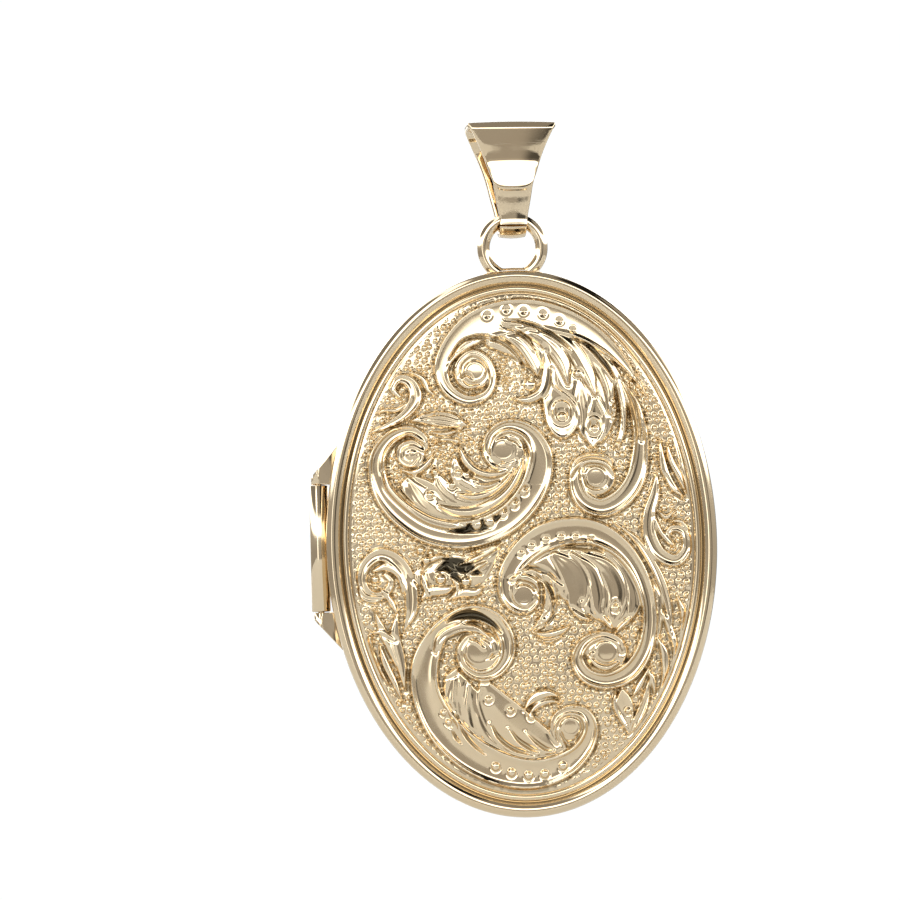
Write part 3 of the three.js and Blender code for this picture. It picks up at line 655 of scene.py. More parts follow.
def chase_bottom_left_scroll(art):
    """The great scroll at the bottom left."""
    art.hub(-2.15, -5.05, 1.05)
    art.hub(2, -8.6, .8)
    art.field([(-3.3, -6.3, .5), (-2.8, -7.6, 1), (-1.7, -8.7, 1.35), (-.3, -9.3, 1.3), (.9, -9.6, .8),
        (1.6, -9.7, .3)])
    art.leaf([(-1.9, -6.6, .3), (-1.5, -7.5, .75), (-.7, -8.5, 1), (.3, -9.1, .75), (1.2, -9.5, .3),
        (1.6, -9.6, .05)], level=.16, crest=.02)
    art.leaf([(-.1, -7.75, .05), (.35, -7.25, .22), (1, -7.05, .2), (1.5, -7.2, .04)], level=.26)
    art.leaf([(.1, -8, .05), (.5, -7.6, .16), (1.1, -7.4, .13), (1.6, -7.5, .04)], level=.22)
    art.leaf([(-2.6, -6.5, .1), (-2.75, -7.5, .3), (-2.6, -8.6, .3), (-2.1, -9.5, .1)], level=.14)
    art.leaf([(-3.3, -6.2, .1), (-3.4, -7.4, .3), (-3.25, -8.4, .28), (-2.6, -9.4, .06)], level=.14)
    art.leaf([(-3.7, -6.15, .04), (-3.35, -5.95, .13), (-3.1, -5.7, .04)], level=.2)
    art.band([(1.35, -9.35, .05), (1.15, -8.8, .14), (1.35, -8.15, .2), (1.95, -7.85, .24), (2.65, -8, .3),
        (2.95, -8.7, .36), (2.6, -9.6, .46), (1.7, -10.35, .6), (.3, -10.75, .72), (-1.2, -10.5, .8),
        (-2.7, -9.7, .84), (-3.9, -8.5, .8), (-4.6, -7, .7), (-4.65, -5.6, .66), (-4.1, -4.3, .52),
        (-3.2, -3.5, .44), (-2.3, -3.25, .42), (-1.4, -3.55, .42), (-.85, -4.4, .4), (-.85, -5.3, .36),
        (-1.4, -6, .3), (-2.2, -6.15, .25), (-2.85, -5.7, .2), (-3, -5, .17), (-2.6, -4.4, .14),
        (-2, -4.3, .05)], level=.26, rim=.1, rim_width=.26, dish=.08)
    art.gash([(-3.6, -3.62, .03), (-3, -3.36, .15), (-2.2, -3.36, .2), (-1.5, -3.75, .14),
        (-1.1, -4.15, .03)], depth=.16, painted_shade=.9)
    art.band([(-4.15, -4.9, .08), (-3.8, -4.3, .22), (-3, -3.95, .22), (-2.2, -4, .17), (-1.6, -4.45, .05)],
        level=.34, rim=.06, dish=0)
    art.eye(-2.15, -5.05, .62)
    art.gash([(-2.5, -4.42, .02), (-2.15, -4.5, .09), (-1.9, -4.8, .02)], depth=.14)
    art.gash([(-1.7, -5.4, .02), (-1.5, -5.25, .07), (-1.25, -5.1, .02)], depth=.12)
    art.eye(2, -8.6, .46)
    art.gash([(1.5, -8.8, .02), (1.75, -9.25, .07), (2.15, -9.25, .07), (2.4, -9, .02)], depth=.12)
    for points in (
        [(-3.25, -7.9, .02), (-2.95, -8.7, .06), (-2.5, -9.3, .07), (-2, -9.75, .02)],
        [(-3.45, -8.65, .02), (-3.3, -8.95, .07), (-3.1, -9.2, .02)],
        [(-1.65, -8.4, .02), (-1.3, -9, .09), (-.6, -9.55, .1), (.3, -9.85, .02)],
        [(-.8, -8.65, .02), (-.4, -9.15, .09), (.1, -9.5, .1), (.45, -9.7, .02)],
        [(0, -8.85, .02), (.4, -9.25, .08), (.8, -9.55, .09), (1.15, -9.65, .02)],
    ):
        art.gash(points, depth=.12, lift=.08)
    for x, z in ((-1.5, -10.35), (-.78, -10.64), (0, -10.8), (.75, -10.75), (1.6, -10.4)):
        art.pearl(x, z, .2, .12)
    for x, z in ((-1.75, -7.25), (-.75, -7.8), (.2, -8.1), (-3.83, -7.8), (-3.62, -8.25)):
        art.pearl(x, z, .15, .12)


def chased_height(x, z):
    """The relief on the grid of points x, z. The chased work is eased before the crisp beads go in."""
    relief = Relief(x.ravel(), z.ravel())
    chase_side_leaves(relief)
    chase_small_scrolls(relief)
    chase_heart_scroll(relief)
    chase_sprig(relief)
    chase_centre_right_scroll(relief)
    chase_top_scroll(relief)
    chase_bottom_left_scroll(relief)
    relief.height = blurred(relief.height.reshape(x.shape), 1).ravel()
    relief.beads()
    return relief.height.reshape(x.shape), blurred(relief.painted_shade.reshape(x.shape), 1)


# ---- covers -------------------------------------------------------------------------------------

def disc_grid(columns, rows):
    """A square grid spread over the unit disc, its quads, and its border from the upper left, clockwise."""
    u, v = np.meshgrid(np.linspace(-1, 1, columns + 1), np.linspace(-1, 1, rows + 1))
    numbers = np.arange(u.size).reshape(u.shape)
    quads = np.stack([numbers[:-1, :-1], numbers[:-1, 1:], numbers[1:, 1:], numbers[1:, :-1]], -1)
    sides = numbers[-1], numbers[::-1, -1], numbers[0, ::-1], numbers[:, 0]
    border = np.concatenate([side[:-1] for side in sides])
    return u * np.sqrt(1 - v * v / 2), v * np.sqrt(1 - u * u / 2), quads.reshape(-1, 4), border


def blurred(field, reach=6):
    for axis in (0, 1):
        field = sum(np.roll(field, step, axis) for step in range(-reach, reach + 1)) / (2 * reach + 1)
    return field


def rim_profile():
    """From the panel's edge over the bead, the groove and the rim, down the wall and round the lip."""
    bead_inset = RIM_WIDTH + GROOVE_WIDTH + BEAD_WIDTH / 2
    bead_foot = GROOVE_DEPTH + 0.04
    crest = RIM_WIDTH / 2
    bead = arc(bead_inset, bead_foot, BEAD_WIDTH / 2, BEAD_DEPTH - bead_foot, 0, 180, 10)
    inner = arc(crest, bead_foot, crest + 0.03, RIM_DEPTH - bead_foot, 0, 90, 7)
    outer = arc(crest, RIM_DEPTH - RIM_SHOULDER, crest, RIM_SHOULDER, 90, 180, 8)[1:]
    wall = [(0, 0.5), (0, EDGE_GAP + EDGE_BEVEL), (0.02, EDGE_GAP + 0.03), (EDGE_BEVEL, EDGE_GAP)]
    groove = [(GROOVE_INSET, GROOVE_DEPTH)]
    inside = [(EDGE_WALL - 0.03, EDGE_GAP), (EDGE_WALL, EDGE_GAP + 0.03), (EDGE_WALL, CAVITY_DEPTH - 0.06)]
    return [(1.13, PANEL_DEPTH - 0.03)] + bead + groove + inner + outer + wall + inside


def barrel_seat(points):
    """Clears the hinge barrel, which lies partly inside the covers' edge."""
    x, y = points[:, 0] - HINGE_X, points[:, 1]
    distance = np.maximum(np.hypot(x, y), 1e-6)
    beside = (distance < BARREL_SEAT) & (np.abs(points[:, 2]) < KNUCKLE_START + KNUCKLE_LENGTH)
    push = np.where(beside, BARREL_SEAT / distance, 1)
    return np.stack([HINGE_X + x * push, y * push, points[:, 2]], -1)


def cover(name, side, columns, rows, rise, chased, body, material):
    """A pressed cover: the panel, its stepped rim and wall, and the plain lining inside it."""
    shape = Shape()
    across, along, quads, border = disc_grid(columns, rows)
    angle, share = np.arctan2(across, along), np.minimum(np.hypot(across, along), 1)
    x, z = (part * share for part in oval(angle, PANEL_INSET))
    depth = PANEL_DEPTH + rise * (1 - share**2)
    hollow, painted_shade = np.zeros_like(depth), np.zeros_like(depth)
    if chased:
        height, painted_shade = chased_height(x, z)
        # Painted shade in hollows and painted highlight on crests, from how far each point lies below or
        # above its blurred surroundings.
        hollow = np.clip((blurred(height) - height) / HOLLOW_DEPTH, -1, 1)
        depth = depth + height * smooth((1 - share) * HALF_WIDTH / PANEL_FADE)
    panel = shape.add(x, side * depth, z)
    shape.faces += quads.tolist()
    angles = angle.ravel()[border]
    rings = [panel[border]]
    for inset, ring_depth in rim_profile():
        x, z = oval(angles, inset)
        rings.append(shape.add(x, side * ring_depth, z))
        # The rim's groove gets painted shade.
        dark = GROOVE_PAINTED_SHADE * (inset == GROOVE_INSET)
        painted_shade = np.append(painted_shade, np.full(angles.size, dark))
    shape.loft(rings)
    last = rings[-1]
    for step in range(1, LINING_RINGS + 1):
        inset = EDGE_WALL + (HALF_WIDTH - EDGE_WALL) * (step / (LINING_RINGS + 1)) ** 2
        ring_depth = CAVITY_DEPTH + LINING_RISE * (1 - (1 - inset / HALF_WIDTH) ** 2)
        angles = angles[::2]
        x, z = oval(angles, inset)
        ring = shape.add(x, side * ring_depth, z)
        shape.halve(last, ring)
        last = ring
    shape.fan(last, shape.add(0, side * (CAVITY_DEPTH + LINING_RISE), 0)[0])
    shape.points = [barrel_seat(points) for points in shape.points]
    mesh = shape.mesh(name, CENTRE, crease=70)
    for key, marks in (("hollow", hollow.ravel()), ("painted_shade", painted_shade)):
        values = np.zeros(shape.count, np.float32)
        values[: marks.size] = marks
        mesh.attributes.new(key, "FLOAT", "POINT").data.foreach_set("value", values)
    place(mesh, name, body, material)


# ---- fittings inside ----------------------------------------------------------------------------

def snap_bezel(material):
    """The inner ring of the back cover. Its rolled tip stands into the front cover."""
    tip = -(CAVITY_DEPTH - 0.12)
    seat = EDGE_WALL + EDGE_GAP
    foot = CAVITY_DEPTH - EDGE_GAP
    half = (BEZEL_INNER - BEZEL_INSET) / 2
    roll = arc(BEZEL_INSET + half, tip + half, half, half, 180, 360, 8)
    wall = [(BEZEL_INNER, foot), (seat, foot), (seat, 0.06), (seat + 0.03, EDGE_GAP), (BEZEL_INSET, EDGE_GAP)]
    place_shape(ring_shape(1, roll + wall), "snap_bezel", "back_half", material)


def catch_bead(material):
    """A small pip on the bezel's right side, which the front cover snaps over."""
    shape = Shape()
    turns = even(20)
    middle = HALF_WIDTH - BEZEL_INSET + 0.04 - CATCH_HALF_WIDTH
    rings = []
    for lean in np.radians(np.linspace(-80, 80, 15)):
        size = math.cos(lean) ** 0.5
        x = middle + CATCH_HALF_WIDTH * size * np.cos(turns)
        y = CATCH_HALF_DEPTH * size * np.sin(turns) - CAVITY_DEPTH / 2
        rings.append(shape.add(x, y, CATCH_HALF_LENGTH * math.sin(lean)))
    shape.loft(rings)
    for ring, end in ((rings[0], -CATCH_HALF_LENGTH), (rings[-1], CATCH_HALF_LENGTH)):
        shape.fan(ring, shape.add(middle, -CAVITY_DEPTH / 2, end)[0])
    place_shape(shape, "catch_bead", "back_half", material)


def front_seat(material):
    inner, foot, bevel = SEAT_INSET + SEAT_WALL, CAVITY_DEPTH - EDGE_GAP, 0.03
    lip = [(SEAT_INSET, EDGE_GAP + bevel), (SEAT_INSET + bevel, EDGE_GAP), (inner - bevel, EDGE_GAP)]
    profile = lip + [(inner, EDGE_GAP + bevel), (inner, foot), (SEAT_INSET, foot)]
    place_shape(ring_shape(-1, profile), "front_photo_seat", "front_half", material)


def flat_fitting(name, side, inset, floor, thick, bevel, body, material):
    """A card or a window: a flat oval with eased edges."""
    top = floor - thick
    edge = [(inset + bevel, top), (inset, top + bevel), (inset, floor - bevel), (inset + bevel, floor)]
    profile = [(HALF_WIDTH, top)] + edge + [(HALF_WIDTH, floor)]
    place_shape(disc_shape(side, profile), name, body, material, crease=30)


def photo_frame(name, side, inset, body, material):
    """A sprung ring with a rolled top that slopes down to a thin inner lip."""
    thick = FRAME_FLOOR - EDGE_GAP
    roll_rise, slope_rise, slope_start = thick * 0.6, thick * 0.68, 0.31
    profile = arc(inset + FRAME_ROLL, EDGE_GAP + roll_rise, FRAME_ROLL, roll_rise, 180, 270, 8)
    for share in (0.45, 0.6, 0.75, 0.9):
        fall = slope_rise * ((share - slope_start) / (1 - slope_start)) ** 1.4
        profile.append((inset + FRAME_WIDTH * share, EDGE_GAP + fall))
    profile += [(inset + FRAME_WIDTH, FRAME_FLOOR - 0.07), (inset + FRAME_WIDTH, FRAME_FLOOR)]
    shape = ring_shape(side, profile + [(inset, FRAME_FLOOR)])
    place_shape(shape, name, body, material)


# ---- hinge --------------------------------------------------------------------------------------

def tube_profile(radius, low, high, bevel=0.035):
    outer = [(PIN_BORE, low), (radius - bevel, low), (radius, low + bevel)]
    return outer + [(radius, high - bevel), (radius - bevel, high), (PIN_BORE, high)]


def hinge_barrel(material):
    shape = rod_shape(tube_profile(BARREL_RADIUS, -BARREL_LENGTH / 2, BARREL_LENGTH / 2))
    place_shape(shape, "hinge_barrel", "front_half", material, crease=60)


def end_knuckle(name, up, material):
    """Its outer end is filed to the slope of the bearer beside it."""
    low, high = KNUCKLE_START, KNUCKLE_START + KNUCKLE_LENGTH
    shape = rod_shape([(r, up * z) for r, z in tube_profile(KNUCKLE_RADIUS, low, high)])
    for points in shape.points:
        limit = BEARER_LENGTH / 2 + math.tan(BEARER_CHAMFER) * (points[:, 0] - HINGE_X)
        points[:, 2] = up * np.minimum(up * points[:, 2], limit)
    place_shape(shape, name, "back_half", material, crease=60)


def hinge_pin(material):
    shape = Shape()
    reach, bevel = KNUCKLE_START + KNUCKLE_LENGTH / 2, 0.04
    turns = even(32)
    profile = [(PIN_RADIUS - bevel, -reach), (PIN_RADIUS, bevel - reach)]
    profile += [(PIN_RADIUS, reach - bevel), (PIN_RADIUS - bevel, reach)]
    rings = [shape.add(HINGE_X + r * np.cos(turns), r * np.sin(turns), z) for r, z in profile]
    shape.loft(rings)
    for ring, end in ((rings[0], -reach), (rings[-1], reach)):
        shape.fan(ring, shape.add(HINGE_X, 0, end)[0])
    place_shape(shape, "hinge_pin", "back_half", material)


def bearer(node, body, material, bevel=0.035):
    """The CAD bearer with its edges eased."""
    mesh = bpy.data.objects[node].data.copy()
    mesh.transform(Matrix.Scale(1 / MM, 4))
    soft = bmesh.new()
    soft.from_mesh(mesh)
    bmesh.ops.remove_doubles(soft, verts=soft.verts, dist=1e-4)
    bmesh.ops.dissolve_limit(soft, angle_limit=math.radians(2), verts=soft.verts, edges=soft.edges)
    sharp = [edge for edge in soft.edges if edge.calc_face_angle(0) > math.radians(35)]
    bmesh.ops.bevel(
        soft, geom=sharp, offset=bevel, segments=2, profile=0.5, affect="EDGES", clamp_overlap=True
    )
    bmesh.ops.recalc_face_normals(soft, faces=soft.faces)
    soft.to_mesh(mesh)
    soft.free()
    mesh.transform(Matrix.Scale(MM, 4))
    mesh.shade_smooth()
    mesh.set_sharp_from_angle(angle=math.radians(25))
    place(mesh, node, body, material)


# ---- hanging loop and bail ----------------------------------------------------------------------

def hanging_loop(material, voxel=0.04):
    """A soldered ring. The voxels join it to its foot, and smoothing leaves the solder's fillets."""
    shape = Shape()
    tube = even(28)
    centre_z = HALF_HEIGHT + LOOP_STANDOFF
    rings = []
    for turn in even(120):
        radius = LOOP_RADIUS + LOOP_WIRE * np.cos(tube)
        z = centre_z + radius * np.cos(turn)
        rings.append(shape.add(radius * np.sin(turn), LOOP_WIRE * np.sin(tube), z))
    shape.loft(rings, closed=True)
    rings = []
    half_foot = LOOP_FOOT_WIDTH / 2
    for x in half_foot * np.sin(np.radians(np.linspace(-84, 84, 31))):
        taper = (1 - (x / half_foot) ** 4) ** 0.5
        half_tall = LOOP_FOOT_TIP + (LOOP_FOOT_RISE - LOOP_FOOT_TIP) * taper
        middle = HALF_HEIGHT * math.sqrt(1 - (x / HALF_WIDTH) ** 2)
        z = middle + half_tall * taper * np.sin(tube)
        rings.append(shape.add(x, LOOP_WIRE * taper * np.cos(tube), z))
    shape.loft(rings)
    shape.faces += [rings[0].tolist(), rings[-1][::-1].tolist()]
    rough = bpy.data.objects.new("loop_rough", shape.mesh("loop_rough", np.zeros(3)))
    rough.data.transform(Matrix.Scale(1 / MM, 4))
    bpy.context.scene.collection.objects.link(rough)
    remesh = rough.modifiers.new("voxels", "REMESH")
    remesh.mode, remesh.voxel_size = "VOXEL", voxel
    ease = rough.modifiers.new("ease", "SMOOTH")
    ease.factor, ease.iterations = 0.5, 7
    mesh = bpy.data.meshes.new_from_object(rough.evaluated_get(bpy.context.evaluated_depsgraph_get()))
    bpy.data.objects.remove(rough)
    points = np.empty(len(mesh.vertices) * 3)
    mesh.vertices.foreach_get("co", points)
    points = points.reshape(-1, 3)
    edge = HALF_HEIGHT * np.sqrt(1 - (points[:, 0] / HALF_WIDTH) ** 2)
    points[:, 2] = np.maximum(points[:, 2], edge + EDGE_GAP)
    points += CENTRE + [0, LOOP_SETBACK, 0]
    mesh.vertices.foreach_set("co", (points * MM).ravel())
    mesh.update()
    mesh.shade_smooth()
    place(mesh, "hanging_loop", "back_half", material)


def bail_stations():
    """The strip's run from under the seam, round the foot and top, to over the seam.

    Each station is (bend centre y, bend centre z, radius, angle).
    """
    lean = math.asin((BAIL_TOP_RADIUS - BAIL_FOOT_RADIUS) / BAIL_FOOT_DROP)
    drop, foot, top = -BAIL_FOOT_DROP, BAIL_FOOT_RADIUS, BAIL_TOP_RADIUS
    low_end = math.pi + math.asin((BAIL_SEAM_DROP + BAIL_SEAM / 2) / foot)
    run = [(0, drop, foot, a) for a in np.linspace(low_end, 2 * math.pi - lean, 30)]
    run += [(0, drop * (1 - s), foot + (top - foot) * s, -lean) for s in np.linspace(0, 1, 26)[1:-1]]
    run += [(0, 0, top, a) for a in np.linspace(-lean, math.pi / 2, 30)]
    flat = top - BAIL_BEND
    run += [(-flat * s, flat, BAIL_BEND, math.pi / 2) for s in (0.5, 1)]
    run += [(-flat, flat, BAIL_BEND, a) for a in np.linspace(math.pi / 2, math.pi, 24)[1:-1]]
    return run + [(0, z, reach, math.pi) for z, reach in spline(BAIL_FACE, 6)]


def bail_half_width(z):
    seam = -BAIL_FOOT_DROP - BAIL_SEAM_DROP
    share = np.clip((z - seam) / (BAIL_TOP_RADIUS - seam), 0, 1)
    flared = (BAIL_NECK_WIDTH + (BAIL_TOP_WIDTH - BAIL_NECK_WIDTH) * share**BAIL_FLARE) / 2
    waist = BAIL_WAIST * (1 - smooth((z - seam) / BAIL_WAIST_RISE))
    return np.where(z < seam, BAIL_FOOT_WIDTH / 2, flared - waist)


def bail(material):
    """A strip folded round the loop, with eased edges and a faint pillow across its width."""
    shape = Shape()
    corner = [
        (BAIL_EASE * (1 - math.cos(t)), BAIL_EASE * (1 - math.sin(t))) for t in np.radians([0, 30, 60, 90])
    ]
    spread = np.linspace(-1, 1, 17)[1:-1]
    rings = []
    for centre, bend, radius, angle in bail_stations():
        half = float(bail_half_width(bend + (radius - BAIL_SHEET / 2) * math.sin(angle)))
        outer = [(s * (half - BAIL_EASE), BAIL_PILLOW * s * s) for s in spread]
        right = [(half - inset, BAIL_PILLOW + depth) for inset, depth in corner[::-1]]
        right += [(half - inset, BAIL_SHEET - depth) for inset, depth in corner]
        inner = [(s * (half - BAIL_EASE), BAIL_SHEET) for s in spread[::-3]]
        left = [(-across, depth) for across, depth in right[::-1]]
        across, depth = np.array(outer + right + inner + left).T
        near_hip = math.exp(-(((bend - BAIL_HIP) / BAIL_HIP_SPREAD) ** 2)) * (angle == math.pi)
        lift = BAIL_HIP_CURVE * (across / half) ** 4 * near_hip
        y, z = centre + (radius - depth) * math.cos(angle), bend + (radius - depth) * math.sin(angle)
        rings.append(shape.add(across, y, z + lift))
    shape.loft(rings)
    shape.faces += [rings[0].tolist(), rings[-1][::-1].tolist()]
    mesh = shape.mesh("bail", np.zeros(3), crease=50)
    mesh.transform(Matrix.Rotation(BAIL_TURN, 4, "Z"))
    place(mesh, "bail", "bail", material)


# ---- materials ----------------------------------------------------------------------------------

# Brighter gold for crests: partly burnishing of high points, partly painted highlight.
BURNISH_AND_HIGHLIGHT = (0.90, 0.79, 0.60, 1)
# Painted shade for the hollows of the relief.
HOLLOW_SHADE_GOLD = (0.36, 0.29, 0.19, 1)
# Painted shade: near-black for the gouges of the relief and the rim's groove.
PAINTED_SHADE_COLOUR = (0.045, 0.038, 0.025, 1)


class Nodes:
    """Short ways to add nodes to a tree."""

    def __init__(self, tree):
        self.tree = tree
        tree.nodes.clear()

    def add(self, kind, inputs=(), **settings):
        node = self.tree.nodes.new(kind)
        for key, value in settings.items():
            setattr(node, key, value)
        for key, value in dict(inputs).items():
            if isinstance(value, bpy.types.NodeSocket):
                self.tree.links.new(value, node.inputs[key])
            else:
                node.inputs[key].default_value = value
        return node

    def math(self, operation, first, second=0.0):
        return self.add("ShaderNodeMath", {0: first, 1: second}, operation=operation).outputs[0]

    def span(self, value, start, end, low, high):
        """A smooth step from low to high as the value goes from start to end."""
        inputs = {"Value": value, "From Min": start, "From Max": end, "To Min": low, "To Max": high}
        return self.add("ShaderNodeMapRange", inputs, interpolation_type="SMOOTHSTEP").outputs["Result"]

    def mix(self, share, first, second):
        """A mix of two colours."""
        return self.add("ShaderNodeMix", {0: share, 6: first, 7: second}, data_type="RGBA").outputs[2]

    def noise(self, vector, scale, detail=2.0, stretch=None):
        if stretch:
            vector = self.add("ShaderNodeMapping", {"Vector": vector, "Scale": stretch}).outputs["Vector"]
        inputs = {"Vector": vector, "Scale": scale, "Detail": detail}
        return self.add("ShaderNodeTexNoise", inputs).outputs["Fac"]


def new_material(name, **values):
    material = bpy.data.materials.new(name)
    material.use_nodes = True
    nodes = Nodes(material.node_tree)
    shader = nodes.add("ShaderNodeBsdfPrincipled", {key.replace("_", " "): v for key, v in values.items()})
    nodes.add("ShaderNodeOutputMaterial", {"Surface": shader.outputs["BSDF"]})
    return material, nodes, shader


def wire(nodes, shader, **links):
    for key, socket in links.items():
        nodes.tree.links.new(socket, shader.inputs[key.replace("_", " ")])


def gold(name, bright, warm, rough, chased=False):
    """Polished gold: slow shifts of colour and gloss, fine wiping marks and a few longer scratches."""
    material, nodes, shader = new_material(name, Metallic=1.0)
    place_on = nodes.add("ShaderNodeTexCoord").outputs["Object"]
    cloud = nodes.noise(place_on, 260, 3)
    haze = nodes.noise(place_on, 900, 4)
    marks = nodes.noise(place_on, 3200, 3, stretch=(1.0, 1.0, 0.12))
    cross = nodes.noise(place_on, 2600, 3, stretch=(0.1, 1.0, 1.0))
    scratch = nodes.span(nodes.math("MAXIMUM", marks, cross), 0.66, 0.78, 0, 1)
    colour = nodes.mix(nodes.span(cloud, 0.35, 0.7, 0, 0.7), bright, warm)
    gloss = nodes.span(haze, 0.3, 0.75, rough * 0.7, rough * 1.4)
    gloss = nodes.math("ADD", gloss, nodes.math("MULTIPLY", scratch, 0.08))
    if chased:
        hollow = nodes.add("ShaderNodeAttribute", attribute_name="hollow").outputs["Fac"]
        painted_shade = nodes.add("ShaderNodeAttribute", attribute_name="painted_shade").outputs["Fac"]
        # Crests above their surroundings are made brighter: partly burnishing, partly painted highlight.
        colour = nodes.mix(nodes.span(hollow, -0.8, 0, 0.4, 0), colour, BURNISH_AND_HIGHLIGHT)
        # Painted shade: hollows of the relief are made darker.
        colour = nodes.mix(nodes.span(hollow, 0, 1, 0, 0.75), colour, HOLLOW_SHADE_GOLD)
        # Painted shade: gouges and the rim's groove are coloured near-black.
        colour = nodes.mix(nodes.span(painted_shade, 0, 1, 0, 0.95), colour, PAINTED_SHADE_COLOUR)
        gloss = nodes.math("ADD", gloss, nodes.span(hollow, 0, 1, 0, 0.12))
    height = nodes.math("ADD", nodes.math("MULTIPLY", haze, 0.5), nodes.math("MULTIPLY", scratch, -0.5))
    bump = nodes.add("ShaderNodeBump", {"Height": height, "Strength": 0.35, "Distance": 0.004 * MM})
    wire(nodes, shader, Base_Color=colour, Roughness=gloss, Normal=bump.outputs["Normal"])
    return material


def paper():
    """A blank photo card with a matt, faintly fibrous face."""
    material, nodes, shader = new_material("blank_photo_paper")
    place_on = nodes.add("ShaderNodeTexCoord").outputs["Object"]
    fibre = nodes.noise(place_on, 5200, 4, stretch=(1.0, 1.0, 0.35))
    tone = nodes.noise(place_on, 240, 2)
    colour = nodes.mix(tone, (0.90, 0.87, 0.80, 1), (0.84, 0.80, 0.71, 1))
    bump = nodes.add("ShaderNodeBump", {"Height": fibre, "Strength": 0.4, "Distance": 0.01 * MM})
    gloss = nodes.span(fibre, 0.3, 0.7, 0.62, 0.8)
    wire(nodes, shader, Base_Color=colour, Roughness=gloss, Normal=bump.outputs["Normal"])
    return material


def acetate():
    """A clear window with faint wiping marks."""
    material, nodes, shader = new_material("clear_acetate", Transmission_Weight=1.0, IOR=1.2)
    place_on = nodes.add("ShaderNodeTexCoord").outputs["Object"]
    marks = nodes.noise(place_on, 1500, 3, stretch=(1.0, 1.0, 0.2))
    haze = nodes.noise(place_on, 300, 2)
    colour = nodes.mix(haze, (0.97, 0.99, 0.99, 1), (0.94, 0.97, 0.97, 1))
    wire(nodes, shader, Base_Color=colour, Roughness=nodes.span(marks, 0.4, 0.8, 0.02, 0.09))
    return material


def floor_paint():
    material, nodes, shader = new_material("pale_floor")
    place_on = nodes.add("ShaderNodeTexCoord").outputs["Object"]
    tone = nodes.noise(place_on, 30, 3)
    colour = nodes.mix(tone, (0.86, 0.87, 0.88, 1), (0.82, 0.83, 0.84, 1))
    wire(nodes, shader, Base_Color=colour, Roughness=nodes.span(tone, 0.3, 0.7, 0.5, 0.65))
    return material


# ---- studio -------------------------------------------------------------------------------------

FLOOR_Z = -62
VIEW_DISTANCE = 160
VIEW_SPAN = 42.2  # width of the view at the locket
VIEW_RISE = math.radians(-4)
VIEW_ROLL = math.radians(-1.6)
VIEW_AIM = np.array([-3.21, 0, 4.46])  # from the oval's centre
LIGHT_AIM = (0, 0, -18)

# The front's light, from below to above, and then each change of light: where it starts and ends, and by how
# much.
TENT_FRONT = (-0.34, -0.1, 0.09, 0.43)
TENT_TOP = [(0.0, 0.14, 0.08), (0.17, 0.24, 3.0), (0.38, 0.48, -3.2)]
TENT_BOTTOM = [(0.36, 0.42, -0.06), (0.62, 0.68, 0.7)]
TENT_LEFT = [(0.24, 0.32, 1.8), (0.4, 0.48, -1.85)]
TENT_RIGHT = [(0.26, 0.34, -0.34), (0.5, 0.58, 0.4)]
# A dim skirt round the tent: the share of the light that passes it. From front to back it closes beside the
# locket and opens a little behind. Above the last span it is clear.
SKIRT_BESIDE = (-0.5, -0.3, 1.0, 0.08)
SKIRT_BEHIND = (0.4, 0.65, 0.0, 0.36)
SKIRT_TOP = (-0.35, -0.12, 0.0, 0.92)


def floor(material):
    shape = Shape()
    half = 400
    x, y = np.meshgrid(np.linspace(-half, half, 9), np.linspace(-half, half, 9))
    numbers = shape.add(x, y, 0).reshape(x.shape)
    for near, far in zip(numbers, numbers[1:]):
        shape.strip(near, far)
    mesh = shape.mesh("studio_floor", np.array([0, 0, FLOOR_Z]))
    mesh.materials.append(material)
    stage = bpy.data.objects.new("studio_floor", mesh)
    bpy.context.scene.collection.objects.link(stage)


def studio_world():
    """A light tent. It is bright above, to the sides and below, and dim round the middle of its front."""
    world = bpy.data.worlds.new("light_tent")
    bpy.context.scene.world = world
    world.use_nodes = True
    nodes = Nodes(world.node_tree)
    way = nodes.add("ShaderNodeTexCoord").outputs["Generated"]
    way = nodes.add("ShaderNodeVectorMath", {0: way}, operation="NORMALIZE").outputs["Vector"]
    parts = nodes.add("ShaderNodeSeparateXYZ", {"Vector": way}).outputs
    right, up = parts["X"], parts["Z"]
    left, down = nodes.math("MULTIPLY", right, -1.0), nodes.math("MULTIPLY", up, -1.0)
    light = nodes.span(up, *TENT_FRONT)
    for side, bands in ((up, TENT_TOP), (down, TENT_BOTTOM), (left, TENT_LEFT), (right, TENT_RIGHT)):
        for start, end, change in bands:
            light = nodes.math("ADD", light, nodes.span(side, start, end, 0, change))
    behind = parts["Y"]
    shade = nodes.span(behind, *SKIRT_BESIDE)
    shade = nodes.math("ADD", shade, nodes.span(behind, *SKIRT_BEHIND))
    shade = nodes.math("ADD", shade, nodes.span(up, *SKIRT_TOP))
    shade = nodes.math("MINIMUM", shade, 1.0)
    light = nodes.math("MULTIPLY", light, shade)
    light = nodes.math("MAXIMUM", light, 0.015)
    tint = nodes.mix(nodes.span(light, 0.2, 1.1, 0, 1), (1.0, 0.96, 0.92, 1), (0.97, 0.99, 1.0, 1))
    tent = nodes.add("ShaderNodeBackground", {"Color": tint, "Strength": light}).outputs[0]
    white = nodes.add("ShaderNodeBackground", {"Color": (0.97, 0.99, 1.0, 1), "Strength": 1.05}).outputs[0]
    seen = nodes.add("ShaderNodeLightPath").outputs["Is Camera Ray"]
    mixed = nodes.add("ShaderNodeMixShader", {0: seen, 1: tent, 2: white}).outputs[0]
    nodes.add("ShaderNodeOutputWorld", {"Surface": mixed})


def softbox(name, place_at, aim, size, power):
    lamp = bpy.data.lights.new(name, "AREA")
    lamp.shape, lamp.size, lamp.energy = "DISK", size * MM, power
    holder = bpy.data.objects.new(name, lamp)
    bpy.context.scene.collection.objects.link(holder)
    holder.location = Vector(place_at) * MM
    holder.rotation_euler = (Vector(aim) - Vector(place_at)).to_track_quat("-Z", "Y").to_euler()


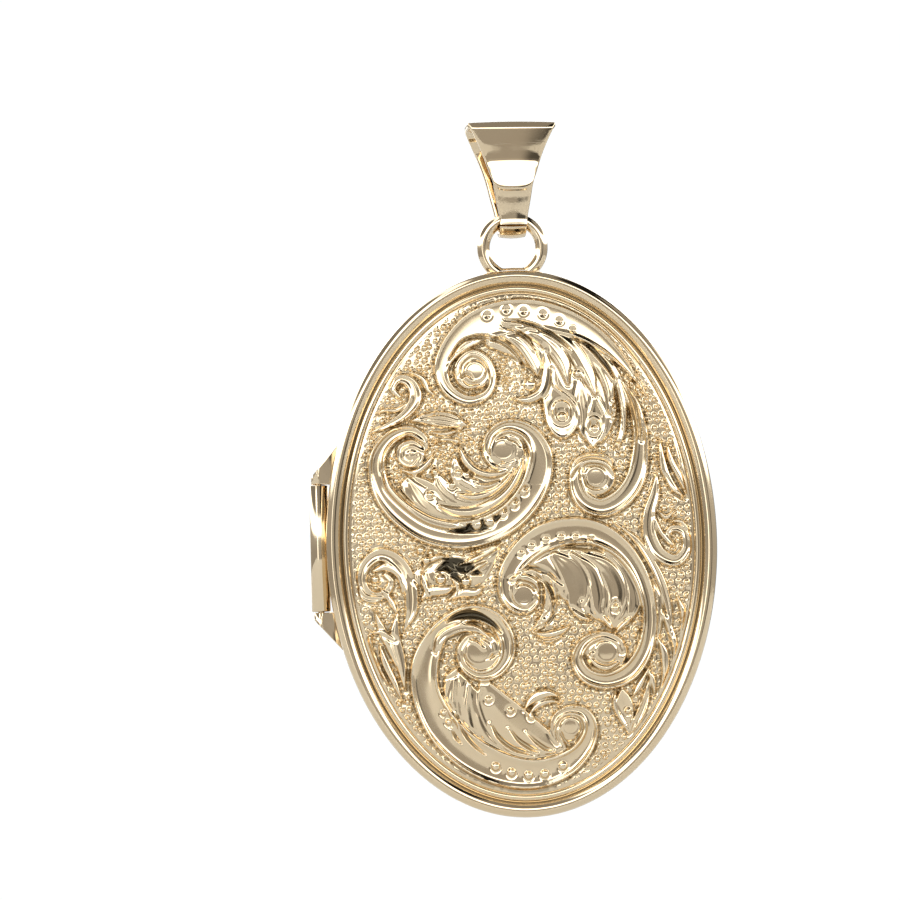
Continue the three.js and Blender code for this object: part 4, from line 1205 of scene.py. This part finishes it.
def camera():
    lens = bpy.data.cameras.new("front_camera")
    lens.sensor_width = 36
    lens.lens = lens.sensor_width * VIEW_DISTANCE / VIEW_SPAN
    lens.clip_start, lens.clip_end = MM, 10
    holder = bpy.data.objects.new("front_camera", lens)
    bpy.context.scene.collection.objects.link(holder)
    aim = Vector((CENTRE + VIEW_AIM) * MM)
    turn = Euler((math.pi / 2 - VIEW_RISE, 0, 0)).to_matrix() @ Matrix.Rotation(VIEW_ROLL, 3, "Z")
    holder.location = aim + turn @ Vector((0, 0, VIEW_DISTANCE * MM))
    holder.rotation_euler = turn.to_euler()
    bpy.context.scene.camera = holder


# ---- the locket ---------------------------------------------------------------------------------

bpy.context.scene.view_settings.view_transform = "Standard"
camera()
studio_world()
floor(floor_paint())
softbox("key_softbox", (-90, -150, 110), LIGHT_AIM, 60, 0.015)
softbox("fill_softbox", (140, 60, 60), LIGHT_AIM, 60, 0.01)

polished = gold("polished_gold", (0.80, 0.655, 0.45, 1), (0.78, 0.615, 0.40, 1), 0.08)
chased_gold = gold("chased_gold", (0.80, 0.65, 0.44, 1), (0.78, 0.61, 0.39, 1), 0.09, chased=True)
inner_gold = gold("satin_inner_gold", (0.80, 0.65, 0.44, 1), (0.76, 0.59, 0.37, 1), 0.22)
card, window = paper(), acetate()

cover("front_cover", -1, 400, 560, CHASED_DOME, True, "front_half", chased_gold)
cover("back_cover", 1, 96, 128, BACK_DOME, False, "back_half", polished)
snap_bezel(inner_gold)
catch_bead(inner_gold)
front_seat(inner_gold)
for half, side, holder in (("back", 1, BEZEL_INNER), ("front", -1, SEAT_INSET + SEAT_WALL)):
    body = half + "_half"
    fit = holder + FIT_GAP
    flat_fitting(half + "_photo_card", side, fit, CARD_FLOOR, CARD_THICK, 0.02, body, card)
    flat_fitting(half + "_photo_window", side, fit, WINDOW_FLOOR, WINDOW_THICK, 0.03, body, window)
    photo_frame(half + "_photo_frame", side, fit, body, inner_gold)
    bearer(half + "_bearer_upper", body, polished)
    bearer(half + "_bearer_lower", body, polished)
hinge_barrel(polished)
end_knuckle("hinge_knuckle_upper", 1, polished)
end_knuckle("hinge_knuckle_lower", -1, polished)
hinge_pin(polished)
hanging_loop(polished)
bail(polished)
